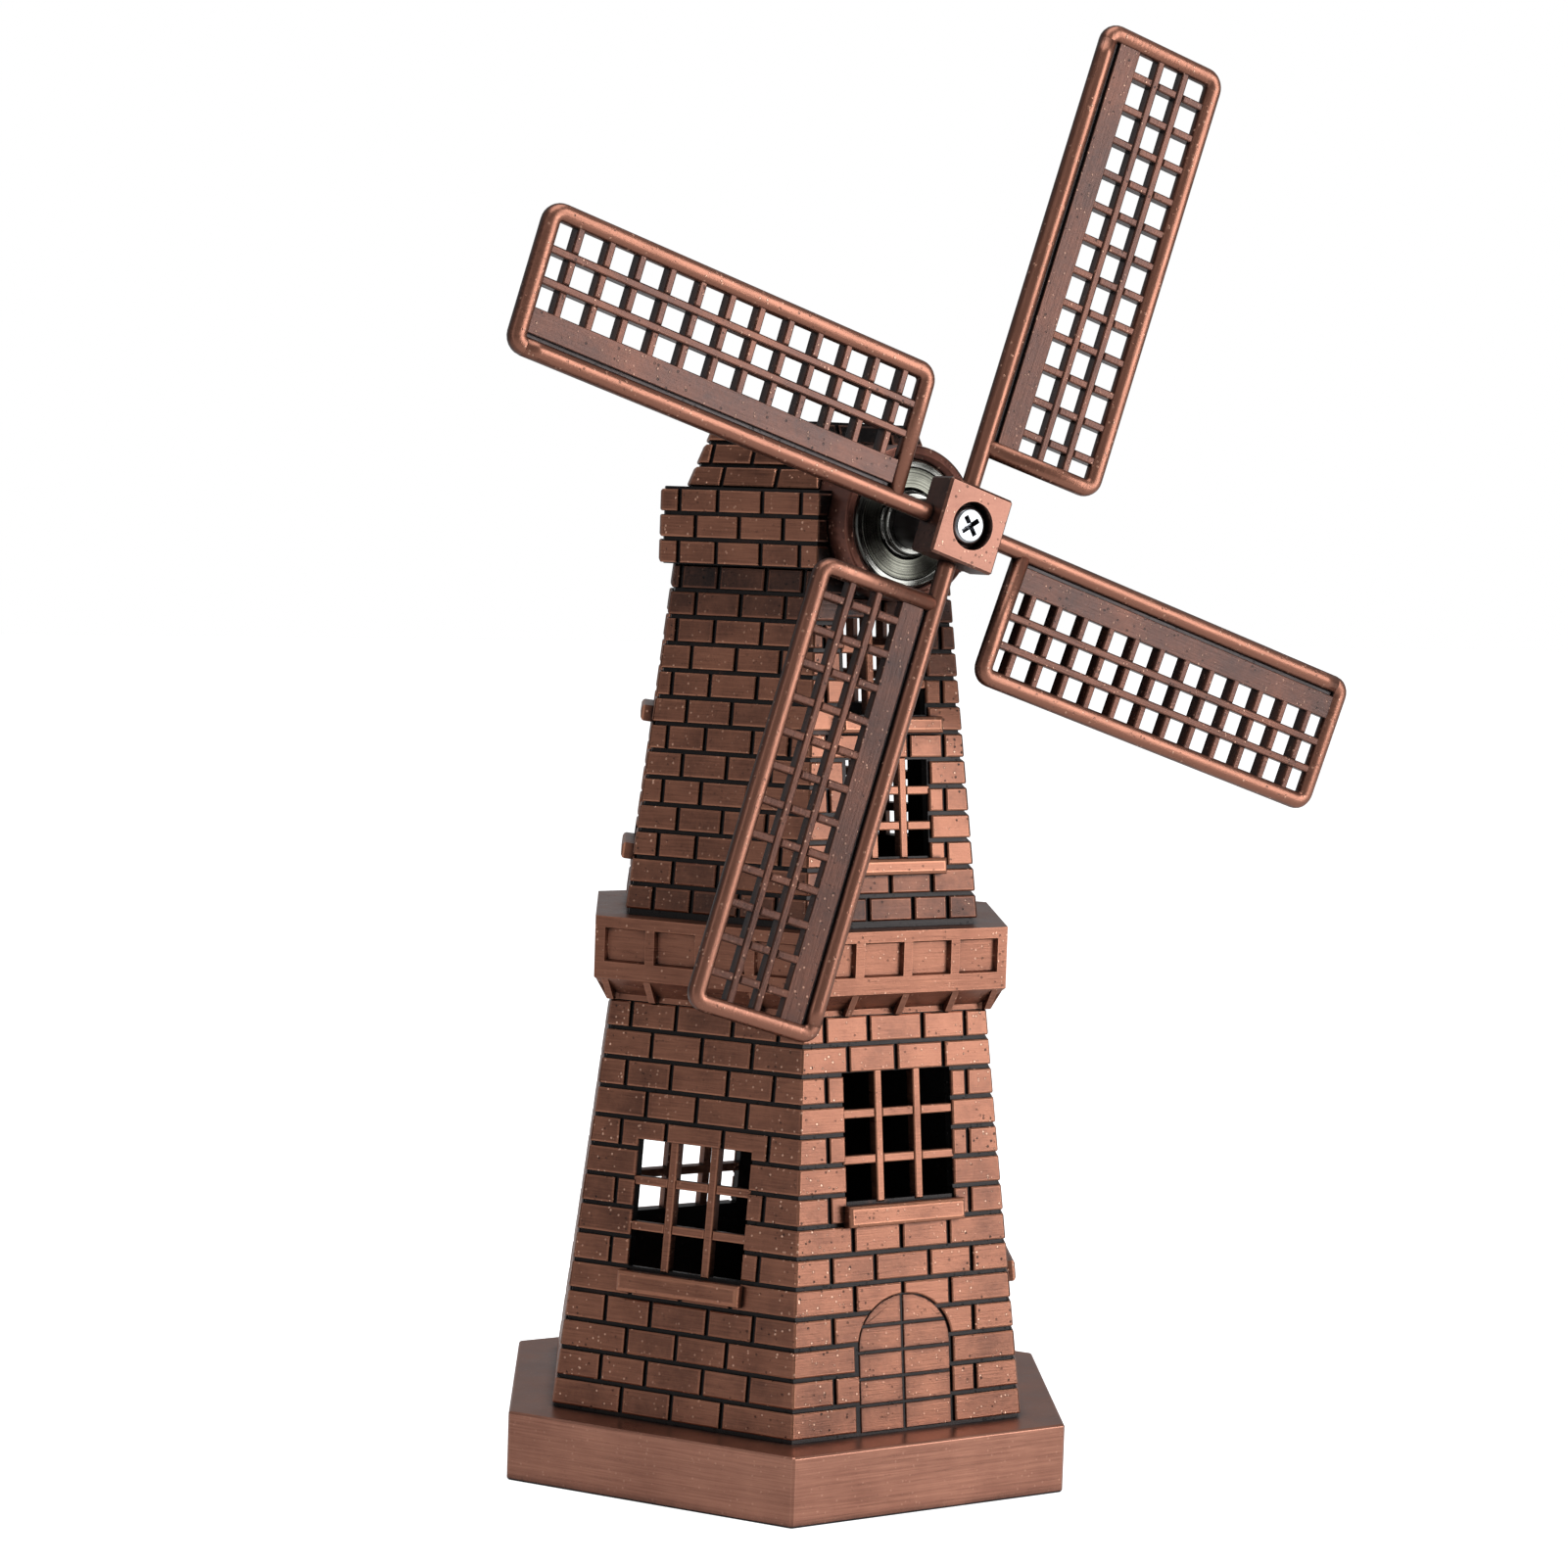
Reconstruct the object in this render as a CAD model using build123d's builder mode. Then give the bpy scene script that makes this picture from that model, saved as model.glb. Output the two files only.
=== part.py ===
from build123d import *
import os
from math import cos, radians, sin, sqrt

# Table windmill in antique copper: a hexagonal brick tower of cast wall plates soldered at their
# mitred corners, a balcony, a crown and a roof, with four lattice sails turning on a ball bearing.
# Millimetres, +Z up. The origin is the middle of the base's underside and the rotor faces -Y.

# Base slab
BASE_RADIUS = 47.5
BASE_HEIGHT = 10.3
BASE_EDGE = 0.6

# Lower storey of the tower: corner radius at its foot and head
LOWER_FOOT_RADIUS = 40.35
LOWER_HEAD_RADIUS = 32.28
LOWER_HEAD_Z = 70.9

# Balcony: vertical band above a sloped underside
BAND_RADIUS = 35.25
BAND_FOOT_Z = 74.25
BAND_HEAD_Z = 83.4
CORBEL_NECK_Z = 71.7
PANEL_SIDE = 6.85
PANEL_HEIGHT = 5.05
PANEL_PITCH = 8.35
PANEL_DEPTH = 0.8
RIB_WIDTH = 1.1
RIB_PLACES = (-15.9, -8.8, 0.0, 8.8, 15.9)

# Upper storey
UPPER_FOOT_RADIUS = 30.35
UPPER_HEAD_RADIUS = 23.6
UPPER_HEAD_Z = 135.5

# Crown and roof
CROWN_RADIUS = 26.2
CROWN_HEAD_Z = 146.9
ROOF_FOOT_RADIUS = 21.75
ROOF_HEAD_RADIUS = 17.1
ROOF_HEAD_Z = 157.0

# Wall plates, measured over the faces of their bricks
WALL = 2.0

# Windows: three panes by three, with cast glazing bars set back from the bricks
PANES = 3
BAR = 1.15
BAR_SETBACK = 0.7
SILL_HEIGHT = 3.15
SILL_DEPTH = 1.45
SILL_ROUND = 0.5
LOWER_WINDOW = 19.0
LOWER_WINDOW_HEIGHT = 18.6
UPPER_WINDOW = 14.3
UPPER_WINDOW_HEIGHT = 14.2
UPPER_SILL_HEIGHT = 2.4

# Door, in relief on the front wall
DOOR_HALF_WIDTH = 8.2
DOOR_SPRING_Z = 23.0
DOOR_HEAD_Z = 30.3
DOOR_SETBACK = 0.75
DOOR_GROOVE = 0.8
DOOR_GROOVE_DEPTH = 0.4
DOOR_BOARD = 3.8

# Rotor axis, which lies along Y, and the stations along it
AXIS_Z = 142.5
HUB_FRONT_Y = -42.9
HUB_BACK_Y = -37.5
SPAR_Y = -39.3
BEARING_FRONT_Y = -26.9
HOUSING_FRONT_Y = -27.3
HOUSING_BACK_Y = -14.0

# Ball bearing, 6 x 19 x 6
BEARING_BORE_RADIUS = 3.0
BEARING_OUTER_RADIUS = 9.5
BEARING_WIDTH = 6.0
BALLS = 7
BALL_RADIUS = 1.75
BALL_CIRCLE_RADIUS = 6.3
RACE_CLEARANCE = 0.06
INNER_LAND_RADIUS = 5.0
OUTER_LAND_RADIUS = 7.5
SHIELD = 0.3
SHIELD_SEAT_RADIUS = 8.2

# Housing, axle, hub and screw
HOUSING_RADIUS = 11.4
SOLDER_GAP = 0.03
NECK_RADIUS = 3.7
WASHER = 1.2
WASHER_RADIUS = 4.7
SPIGOT_RADIUS = 2.6
SPIGOT_LENGTH = 1.6
CLIP_RADIUS = 4.4
CLIP = 0.8
HUB_SIDE = 11.2
SCREW_RADIUS = 1.5
SCREW_HEAD_RADIUS = 2.75
SCREW_HEAD_RECESS = 0.6
SCREW_HEAD_HEIGHT = 2.3
SCREW_LENGTH = 8.5
COUNTERBORE_RADIUS = 3.45

# Sails: clockwise from straight up as the rotor is seen from the front, and each sail's own twist
SAIL_ANGLES = {"sail_upper": 18.2, "sail_right": 107.6, "sail_lower": 197.3, "sail_left": 287.1}
SAIL_TWISTS = {"sail_upper": 7.0, "sail_right": -4.5, "sail_lower": -6.5, "sail_left": -0.6}
HUB_ANGLE = 17.6
SAIL_ROOT = 10.75
SAIL_TIP = 77.0
SAIL_WIDTH = 19.95
SPAR_RADIUS = 1.35
SPAR_START = 4.2
RIM = 2.6
RIM_DEPTH = 2.5
RIM_ROUND = 1.0
SAIL_CORNER = 2.9
BOARD = 4.59
LATTICE_SETBACK = 0.6
LATTICE_BAR = 0.85
CELLS_ALONG = 13
CELLS_ACROSS = 3
END_CELL_SHARE = 0.629

# Names of the six sides, from the rotor's own side round the tower, 60 degrees apart
SIDES = ("front", "front_right", "back_right", "back", "back_left", "front_left")
APOTHEM = cos(radians(30))

os.makedirs("parts", exist_ok=True)


def save(piece, name):
    piece.part.label = name
    export_step(piece.part, f"parts/{name}.step")


def hexagon_corners(radius):
    return [(radius * cos(radians(60 * k)), radius * sin(radians(60 * k))) for k in range(6)]


class Storey:
    """A hexagonal tier that tapers from one corner radius at its foot to another at its head."""

    def __init__(self, foot_radius, head_radius, foot_z, head_z):
        self.foot_radius = foot_radius
        self.head_radius = head_radius
        self.foot_z = foot_z
        self.head_z = head_z
        self.lean = (foot_radius - head_radius) * APOTHEM / (head_z - foot_z)

    def side(self, number):
        """Outer plane of one side: x to the right, y up the slope, z outwards."""
        angle = radians(-90 + 60 * number)
        outward = Vector(cos(angle), sin(angle), 0)
        across = Vector(-sin(angle), cos(angle), 0)
        foot = outward * self.foot_radius * APOTHEM + Vector(0, 0, self.foot_z)
        return Plane(origin=foot, x_dir=across, z_dir=outward + Vector(0, 0, self.lean))

    def up(self, z):
        """Distance up the slope at a height z."""
        return (z - self.foot_z) * sqrt(1 + self.lean**2)


LOWER = Storey(LOWER_FOOT_RADIUS, LOWER_HEAD_RADIUS, BASE_HEIGHT, LOWER_HEAD_Z)
UPPER = Storey(UPPER_FOOT_RADIUS, UPPER_HEAD_RADIUS, BAND_HEAD_Z, UPPER_HEAD_Z)

def wall_plate(storey, number):
    """One plain side of a storey, mitred at both corners; the caller's part receives it."""
    middle = -90 + 60 * number
    sections = []
    for radius, z in ((storey.foot_radius, storey.foot_z), (storey.head_radius, storey.head_z)):
        inner = radius - WALL / APOTHEM
        corners = [
            (r * cos(radians(middle + turn)), r * sin(radians(middle + turn)))
            for r, turn in ((radius, -30), (radius, 30), (inner, 30), (inner, -30))
        ]
        with BuildSketch(Plane.XY.offset(z)) as section:
            with BuildLine():
                Polyline(*corners, close=True)
            make_face()
        sections.append(section.sketch.face())
    loft(sections, ruled=True)


def window(storey, number, foot_z, width, height):
    """A window of three panes by three, its glazing bars set back from the bricks."""
    plane = storey.side(number)
    middle = storey.up(foot_z + height / 2)
    with BuildSketch(plane) as opening:
        with Locations((0, middle)):
            Rectangle(width, height)
    extrude(opening.sketch, amount=-BAR_SETBACK, mode=Mode.SUBTRACT)
    pane_width = (width - (PANES - 1) * BAR) / PANES
    pane_height = (height - (PANES - 1) * BAR) / PANES
    with BuildSketch(plane) as panes:
        with Locations((0, middle)):
            with GridLocations(pane_width + BAR, pane_height + BAR, PANES, PANES):
                Rectangle(pane_width, pane_height)
    extrude(panes.sketch, amount=-2 * WALL, mode=Mode.SUBTRACT)


def sill(part, storey, number, head_z, width, height):
    """A rounded ledge under a window."""
    plane = storey.side(number)
    middle = storey.up(head_z - height / 2)
    with BuildSketch(plane) as ledge:
        with Locations((0, middle)):
            Rectangle(width, height)
    extrude(ledge.sketch, amount=SILL_DEPTH)
    nose = plane.origin + plane.y_dir * middle + plane.z_dir * SILL_DEPTH
    fillet(part.faces().sort_by_distance(nose)[0].edges(), SILL_ROUND)


def door(storey, number):
    """An arched door of ten boards, set back into the wall."""
    plane = storey.side(number)
    foot = storey.up(BASE_HEIGHT)
    spring = storey.up(DOOR_SPRING_Z)
    head = storey.up(DOOR_HEAD_Z)
    with BuildSketch(plane) as doorway:
        with Locations((0, (foot + spring) / 2)):
            Rectangle(2 * DOOR_HALF_WIDTH, spring - foot)
        with Locations((0, spring)):
            Ellipse(DOOR_HALF_WIDTH, head - spring)
    extrude(doorway.sketch, amount=-DOOR_SETBACK, mode=Mode.SUBTRACT)
    with BuildSketch(plane.offset(-DOOR_SETBACK)) as board_gaps:
        with Locations((-0.3, (foot + head) / 2)):
            Rectangle(DOOR_GROOVE, head - foot - DOOR_GROOVE)
        for board in range(4):
            with Locations((0, storey.up(14.6 + board * DOOR_BOARD))):
                Rectangle(2 * DOOR_HALF_WIDTH - DOOR_GROOVE, DOOR_GROOVE)
    extrude(board_gaps.sketch, amount=-DOOR_GROOVE_DEPTH, mode=Mode.SUBTRACT)


# Base slab: a plain hexagonal casting with softened edges
with BuildPart() as base_plate:
    with BuildSketch():
        with BuildLine():
            Polyline(*hexagon_corners(BASE_RADIUS), close=True)
        make_face()
    extrude(amount=BASE_HEIGHT)
    chamfer(base_plate.edges(), BASE_EDGE / 2)
save(base_plate, "base_plate")


# Lower storey: six wall plates, four of them with a window, and a door in the front one
LOWER_SILL_Z = {"front": 43.6, "front_left": 31.8, "front_right": 31.8, "back": 31.8}
for number, side_name in enumerate(SIDES):
    with BuildPart() as lower_wall:
        wall_plate(LOWER, number)
        if side_name in LOWER_SILL_Z:
            sill_z = LOWER_SILL_Z[side_name]
            window(LOWER, number, sill_z + 0.5, LOWER_WINDOW, LOWER_WINDOW_HEIGHT)
            sill(lower_wall, LOWER, number, sill_z, 20.3, SILL_HEIGHT)
        if side_name == "front":
            door(LOWER, number)
    save(lower_wall, f"lower_wall_{side_name}")


# Balcony: neck, sloped underside and panelled band in one casting, with ribs under the slope
BALCONY_NECK_RADIUS = LOWER_HEAD_RADIUS - 0.4
with BuildPart() as balcony:
    with BuildSketch(Plane.XY.offset(LOWER_HEAD_Z)):
        with BuildLine():
            Polyline(*hexagon_corners(BALCONY_NECK_RADIUS), close=True)
        make_face()
    extrude(amount=CORBEL_NECK_Z - LOWER_HEAD_Z)
    for level, corner_radius in ((CORBEL_NECK_Z, BALCONY_NECK_RADIUS), (BAND_FOOT_Z, BAND_RADIUS)):
        with BuildSketch(Plane.XY.offset(level)):
            with BuildLine():
                Polyline(*hexagon_corners(corner_radius), close=True)
            make_face()
    loft(ruled=True)
    with BuildSketch(Plane.XY.offset(BAND_FOOT_Z)):
        with BuildLine():
            Polyline(*hexagon_corners(BAND_RADIUS), close=True)
        make_face()
    extrude(amount=BAND_HEAD_Z - BAND_FOOT_Z)
    band = Storey(BAND_RADIUS, BAND_RADIUS, BAND_FOOT_Z, BAND_HEAD_Z)
    for number in range(6):
        panels = band.side(number)
        with BuildSketch(panels):
            with Locations((0, 5.0)):
                with GridLocations(PANEL_PITCH, 1, 4, 1):
                    Rectangle(PANEL_SIDE, PANEL_HEIGHT)
        extrude(amount=-PANEL_DEPTH, taper=20, mode=Mode.SUBTRACT)
        root = BALCONY_NECK_RADIUS * APOTHEM
        for across in RIB_PLACES:
            rib_plane = Plane(
                origin=panels.x_dir * (across - RIB_WIDTH / 2) * -1,
                x_dir=panels.z_dir,
                z_dir=panels.x_dir * -1,
            )
            with BuildSketch(rib_plane):
                with BuildLine():
                    Polyline(
                        (root - 1.0, LOWER_HEAD_Z),
                        (root + 0.9, LOWER_HEAD_Z),
                        (BAND_RADIUS * APOTHEM - 0.1, BAND_FOOT_Z),
                        (root - 1.0, BAND_FOOT_Z),
                        close=True,
                    )
                make_face()
            extrude(amount=RIB_WIDTH)
save(balcony, "balcony")


# Upper storey: six wall plates, three of them with two windows; the front one is notched at its
# head for the bearing housing
UPPER_SILL_Z = (93.4, 114.1)
for number, side_name in enumerate(SIDES):
    with BuildPart() as upper_wall:
        wall_plate(UPPER, number)
        if side_name in ("front", "back_right", "back_left"):
            for sill_z in UPPER_SILL_Z:
                window(UPPER, number, sill_z + 0.3, UPPER_WINDOW, UPPER_WINDOW_HEIGHT)
                sill(upper_wall, UPPER, number, sill_z, 17.8, UPPER_SILL_HEIGHT)
        if side_name == "front":
            with BuildSketch(Plane.XZ):
                with Locations((0, AXIS_Z)):
                    Circle(HOUSING_RADIUS + SOLDER_GAP)
            extrude(amount=-HOUSING_FRONT_Y, mode=Mode.SUBTRACT)
    save(upper_wall, f"upper_wall_{side_name}")


def housing_seat():
    """Cylindrical seat for the bearing housing, open to the front, cut from crown and roof."""
    with BuildSketch(Plane.XZ.offset(-HOUSING_BACK_Y - SOLDER_GAP)) as seat:
        with Locations((0, AXIS_Z)):
            Circle(HOUSING_RADIUS + SOLDER_GAP)
    extrude(seat.sketch, amount=BASE_RADIUS, mode=Mode.SUBTRACT)


# Crown: a solid block that projects past the upper storey it sits on
with BuildPart() as crown:
    with BuildSketch(Plane.XY.offset(UPPER_HEAD_Z)):
        with BuildLine():
            Polyline(*hexagon_corners(CROWN_RADIUS), close=True)
        make_face()
    extrude(amount=CROWN_HEAD_Z - UPPER_HEAD_Z)
    housing_seat()
save(crown, "crown")


# Roof: a solid flat-topped pyramid
with BuildPart() as roof_cap:
    roof_sections = []
    for corner_radius, level in ((ROOF_FOOT_RADIUS, CROWN_HEAD_Z), (ROOF_HEAD_RADIUS, ROOF_HEAD_Z)):
        with BuildSketch(Plane.XY.offset(level)) as roof_section:
            with BuildLine():
                Polyline(*hexagon_corners(corner_radius), close=True)
            make_face()
        roof_sections.append(roof_section.sketch.face())
    loft(roof_sections, ruled=True)
    housing_seat()
save(roof_cap, "roof_cap")


def ring(outer_radius, inner_radius, front_y, back_y):
    """A plain ring about the rotor axis, between two stations along it."""
    with BuildSketch(Plane.XZ.offset(-back_y)) as section:
        with Locations((0, AXIS_Z)):
            Circle(outer_radius)
            Circle(inner_radius, mode=Mode.SUBTRACT)
    extrude(section.sketch, amount=back_y - front_y)


def disc(radius, front_y, back_y, mode=Mode.ADD):
    """A plain cylinder about the rotor axis, added or cut, between two stations along it."""
    with BuildSketch(Plane.XZ.offset(-back_y)) as section:
        with Locations((0, AXIS_Z)):
            Circle(radius)
    extrude(section.sketch, amount=back_y - front_y, mode=mode)


# Bearing housing: a thick tube held between crown and roof, bored from the front for the bearing
BEARING_BACK_Y = BEARING_FRONT_Y + BEARING_WIDTH
HOUSING_LEAD_IN = 0.7
with BuildPart() as bearing_housing:
    ring(HOUSING_RADIUS, BEARING_OUTER_RADIUS, HOUSING_FRONT_Y, BEARING_BACK_Y)
    ring(HOUSING_RADIUS, OUTER_LAND_RADIUS, BEARING_BACK_Y, HOUSING_BACK_Y)
    mouth = bearing_housing.edges().filter_by(GeomType.CIRCLE).group_by(Axis.Y)[0]
    chamfer(mouth.sort_by(SortBy.RADIUS)[0], HOUSING_LEAD_IN)
    rim = bearing_housing.edges().filter_by(GeomType.CIRCLE).group_by(Axis.Y)[0]
    fillet(rim.sort_by(SortBy.RADIUS)[-1], 0.4)
save(bearing_housing, "bearing_housing")


# Ball bearing: two grooved rings, seven balls in a cage, and a pressed shield at each side
BEARING_MIDDLE_Y = (BEARING_FRONT_Y + BEARING_BACK_Y) / 2
RACE_RADIUS = BALL_RADIUS + RACE_CLEARANCE


def race_groove():
    """The ball track: a torus about the rotor axis, cut from a ring."""
    with BuildSketch(Plane.YZ) as track:
        with Locations((BEARING_MIDDLE_Y, AXIS_Z + BALL_CIRCLE_RADIUS)):
            Circle(RACE_RADIUS)
    rotor_axis = Axis((0, 0, AXIS_Z), (0, 1, 0))
    revolve(track.sketch, axis=rotor_axis, mode=Mode.SUBTRACT)


with BuildPart() as bearing_outer_ring:
    ring(BEARING_OUTER_RADIUS, OUTER_LAND_RADIUS, BEARING_FRONT_Y, BEARING_BACK_Y)
    race_groove()
    ends = bearing_outer_ring.edges().filter_by(GeomType.CIRCLE)
    chamfer(ends.group_by(SortBy.RADIUS)[-1], 0.4)
    disc(SHIELD_SEAT_RADIUS, BEARING_FRONT_Y - 1, BEARING_FRONT_Y + 0.15 + SHIELD, Mode.SUBTRACT)
    disc(SHIELD_SEAT_RADIUS, BEARING_BACK_Y - 0.15 - SHIELD, BEARING_BACK_Y + 1, Mode.SUBTRACT)
save(bearing_outer_ring, "bearing_outer_ring")

with BuildPart() as bearing_inner_ring:
    ring(INNER_LAND_RADIUS, BEARING_BORE_RADIUS, BEARING_FRONT_Y, BEARING_BACK_Y)
    race_groove()
    lips = bearing_inner_ring.edges().filter_by(GeomType.CIRCLE)
    outer_lips = lips.group_by(Axis.Y)[0] + lips.group_by(Axis.Y)[-1]
    chamfer(outer_lips.group_by(SortBy.RADIUS)[-1], 0.25)
save(bearing_inner_ring, "bearing_inner_ring")

BALL_PLANE = Plane(origin=(0, BEARING_MIDDLE_Y, AXIS_Z), x_dir=(1, 0, 0), z_dir=(0, -1, 0))
with BuildPart(BALL_PLANE) as bearing_balls:
    with PolarLocations(BALL_CIRCLE_RADIUS, BALLS):
        Sphere(BALL_RADIUS)
save(bearing_balls, "bearing_balls")

CAGE_OUTER_RADIUS = BALL_CIRCLE_RADIUS + 0.6
CAGE_INNER_RADIUS = BALL_CIRCLE_RADIUS - 0.6
CAGE_WIDTH = 4.8
POCKET_RADIUS = BALL_RADIUS + 0.1
with BuildPart(BALL_PLANE) as bearing_cage:
    Cylinder(CAGE_OUTER_RADIUS, CAGE_WIDTH)
    Cylinder(CAGE_INNER_RADIUS, CAGE_WIDTH, mode=Mode.SUBTRACT)
    with PolarLocations(BALL_CIRCLE_RADIUS, BALLS):
        Cylinder(POCKET_RADIUS, BALL_RADIUS * 2, rotation=(0, 90, 0), mode=Mode.SUBTRACT)
save(bearing_cage, "bearing_cage")

SHIELD_BORE_RADIUS = INNER_LAND_RADIUS + 0.15
with BuildPart() as bearing_shield_front:
    shield_y = BEARING_FRONT_Y + 0.15
    ring(SHIELD_SEAT_RADIUS, SHIELD_BORE_RADIUS, shield_y, shield_y + SHIELD)
save(bearing_shield_front, "bearing_shield_front")

with BuildPart() as bearing_shield_back:
    shield_y = BEARING_BACK_Y - 0.15 - SHIELD
    ring(SHIELD_SEAT_RADIUS, SHIELD_BORE_RADIUS, shield_y, shield_y + SHIELD)
save(bearing_shield_back, "bearing_shield_back")


# Axle: a stepped stub with its journal in the bearing, a neck out to the hub, a spigot that
# centres the hub, a groove for the clip and a tapped hole for the hub screw
CLIP_FRONT_Y = BEARING_BACK_Y + 0.1
CLIP_GROOVE_DEPTH = 0.5
SPIGOT_FRONT_Y = HUB_BACK_Y - SPIGOT_LENGTH
HEAD_BACK_Y = HUB_FRONT_Y + SCREW_HEAD_RECESS + SCREW_HEAD_HEIGHT
SCREW_END_Y = HEAD_BACK_Y + SCREW_LENGTH
with BuildPart() as axle:
    disc(BEARING_BORE_RADIUS, BEARING_FRONT_Y - WASHER, CLIP_FRONT_Y + CLIP + 1.0)
    disc(NECK_RADIUS, HUB_BACK_Y, BEARING_FRONT_Y - WASHER)
    disc(SPIGOT_RADIUS, SPIGOT_FRONT_Y, HUB_BACK_Y)
    disc(SCREW_RADIUS, SPIGOT_FRONT_Y, SCREW_END_Y + 0.5, Mode.SUBTRACT)
    with BuildSketch(Plane.XZ.offset(-CLIP_FRONT_Y - CLIP)):
        with Locations((0, AXIS_Z)):
            Circle(NECK_RADIUS)
            Circle(BEARING_BORE_RADIUS - CLIP_GROOVE_DEPTH, mode=Mode.SUBTRACT)
    extrude(amount=CLIP, mode=Mode.SUBTRACT)
save(axle, "axle")

# Retaining clip behind the bearing: a ring with an open mouth
with BuildPart() as axle_clip:
    ring(CLIP_RADIUS, BEARING_BORE_RADIUS - CLIP_GROOVE_DEPTH, CLIP_FRONT_Y, CLIP_FRONT_Y + CLIP)
    with BuildSketch(Plane.XZ.offset(-CLIP_FRONT_Y - CLIP)):
        with Locations((0, AXIS_Z - CLIP_RADIUS)):
            Rectangle(3.6, 2 * CLIP_RADIUS)
    extrude(amount=CLIP, mode=Mode.SUBTRACT)
save(axle_clip, "axle_clip")

# Spacer washer between the inner ring and the neck
with BuildPart() as spacer_washer:
    ring(WASHER_RADIUS, BEARING_BORE_RADIUS, BEARING_FRONT_Y - WASHER, BEARING_FRONT_Y)
    chamfer(spacer_washer.edges().group_by(Axis.Y)[0].sort_by(SortBy.RADIUS)[-1], 0.25)
save(spacer_washer, "spacer_washer")


# Hub: a square block, counterbored for the screw, with a blind hole in each side for a spar
HUB_EDGE = 0.35
with BuildPart() as hub:
    with BuildSketch(Plane.XZ.offset(-HUB_BACK_Y)):
        with Locations((0, AXIS_Z)):
            Rectangle(HUB_SIDE, HUB_SIDE, rotation=-HUB_ANGLE)
    extrude(amount=HUB_BACK_Y - HUB_FRONT_Y)
    chamfer(hub.edges(), HUB_EDGE)
    disc(COUNTERBORE_RADIUS, HUB_FRONT_Y, HEAD_BACK_Y, Mode.SUBTRACT)
    disc(SCREW_RADIUS + 0.1, HEAD_BACK_Y, HUB_BACK_Y, Mode.SUBTRACT)
    disc(SPIGOT_RADIUS, SPIGOT_FRONT_Y, HUB_BACK_Y, Mode.SUBTRACT)
    for sail_angle in SAIL_ANGLES.values():
        outward = Vector(sin(radians(sail_angle)), 0, cos(radians(sail_angle)))
        spar_plane = Plane(
            origin=Vector(0, SPAR_Y, AXIS_Z) + outward * SPAR_START, x_dir=(0, 1, 0), z_dir=outward
        )
        with BuildSketch(spar_plane):
            Circle(SPAR_RADIUS)
        extrude(amount=HUB_SIDE, mode=Mode.SUBTRACT)
save(hub, "hub")

# Hub screw: pan head with a cross recess, down through the hub into the axle
HEAD_FRONT_Y = HUB_FRONT_Y + SCREW_HEAD_RECESS
with BuildPart() as hub_screw:
    disc(SCREW_HEAD_RADIUS, HEAD_FRONT_Y, HEAD_BACK_Y)
    fillet(hub_screw.edges().group_by(Axis.Y)[0], 0.7)
    disc(SCREW_RADIUS, HEAD_BACK_Y, SCREW_END_Y)
    with BuildSketch(Plane.XZ.offset(-HEAD_FRONT_Y)):
        with Locations((0, AXIS_Z)):
            Rectangle(3.2, 0.75, rotation=30)
            Rectangle(0.75, 3.2, rotation=30)
    extrude(amount=-1.2, taper=12, mode=Mode.SUBTRACT)
save(hub_screw, "hub_screw")


# Sails: a round spar cast in one with a rounded frame, a solid board beside the spar and a
# lattice three cells wide, each twisted a little about its own spar
BOARD_EDGE = SPAR_RADIUS * 0.6 + BOARD
LATTICE_START = SAIL_ROOT + RIM
LATTICE_LENGTH = SAIL_TIP - SAIL_ROOT - 2 * RIM
LATTICE_WIDTH = SAIL_WIDTH - RIM - BOARD_EDGE
CELL = (LATTICE_LENGTH + LATTICE_BAR) / (CELLS_ALONG - 2 + 2 * END_CELL_SHARE)
ROW = (LATTICE_WIDTH + LATTICE_BAR) / CELLS_ACROSS
SAIL_FRONT = RIM_DEPTH / 2


def sail_plane(angle, twist):
    """The sail's own plane: x across it towards the lattice, y along the spar, z forwards."""
    along = Vector(sin(radians(angle)), 0, cos(radians(angle)))
    across = Vector(cos(radians(angle)), 0, -sin(radians(angle)))
    forward = Vector(0, -1, 0)
    tipped = across * cos(radians(twist)) + forward * sin(radians(twist))
    return Plane(origin=(0, SPAR_Y, AXIS_Z), x_dir=tipped, z_dir=tipped.cross(along))


def crossbar_places():
    """Stations of the lattice's crossbars along the spar; the end cells are the short ones."""
    first = LATTICE_START + CELL * END_CELL_SHARE - LATTICE_BAR / 2
    return [first + k * CELL for k in range(CELLS_ALONG - 1)]


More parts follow.
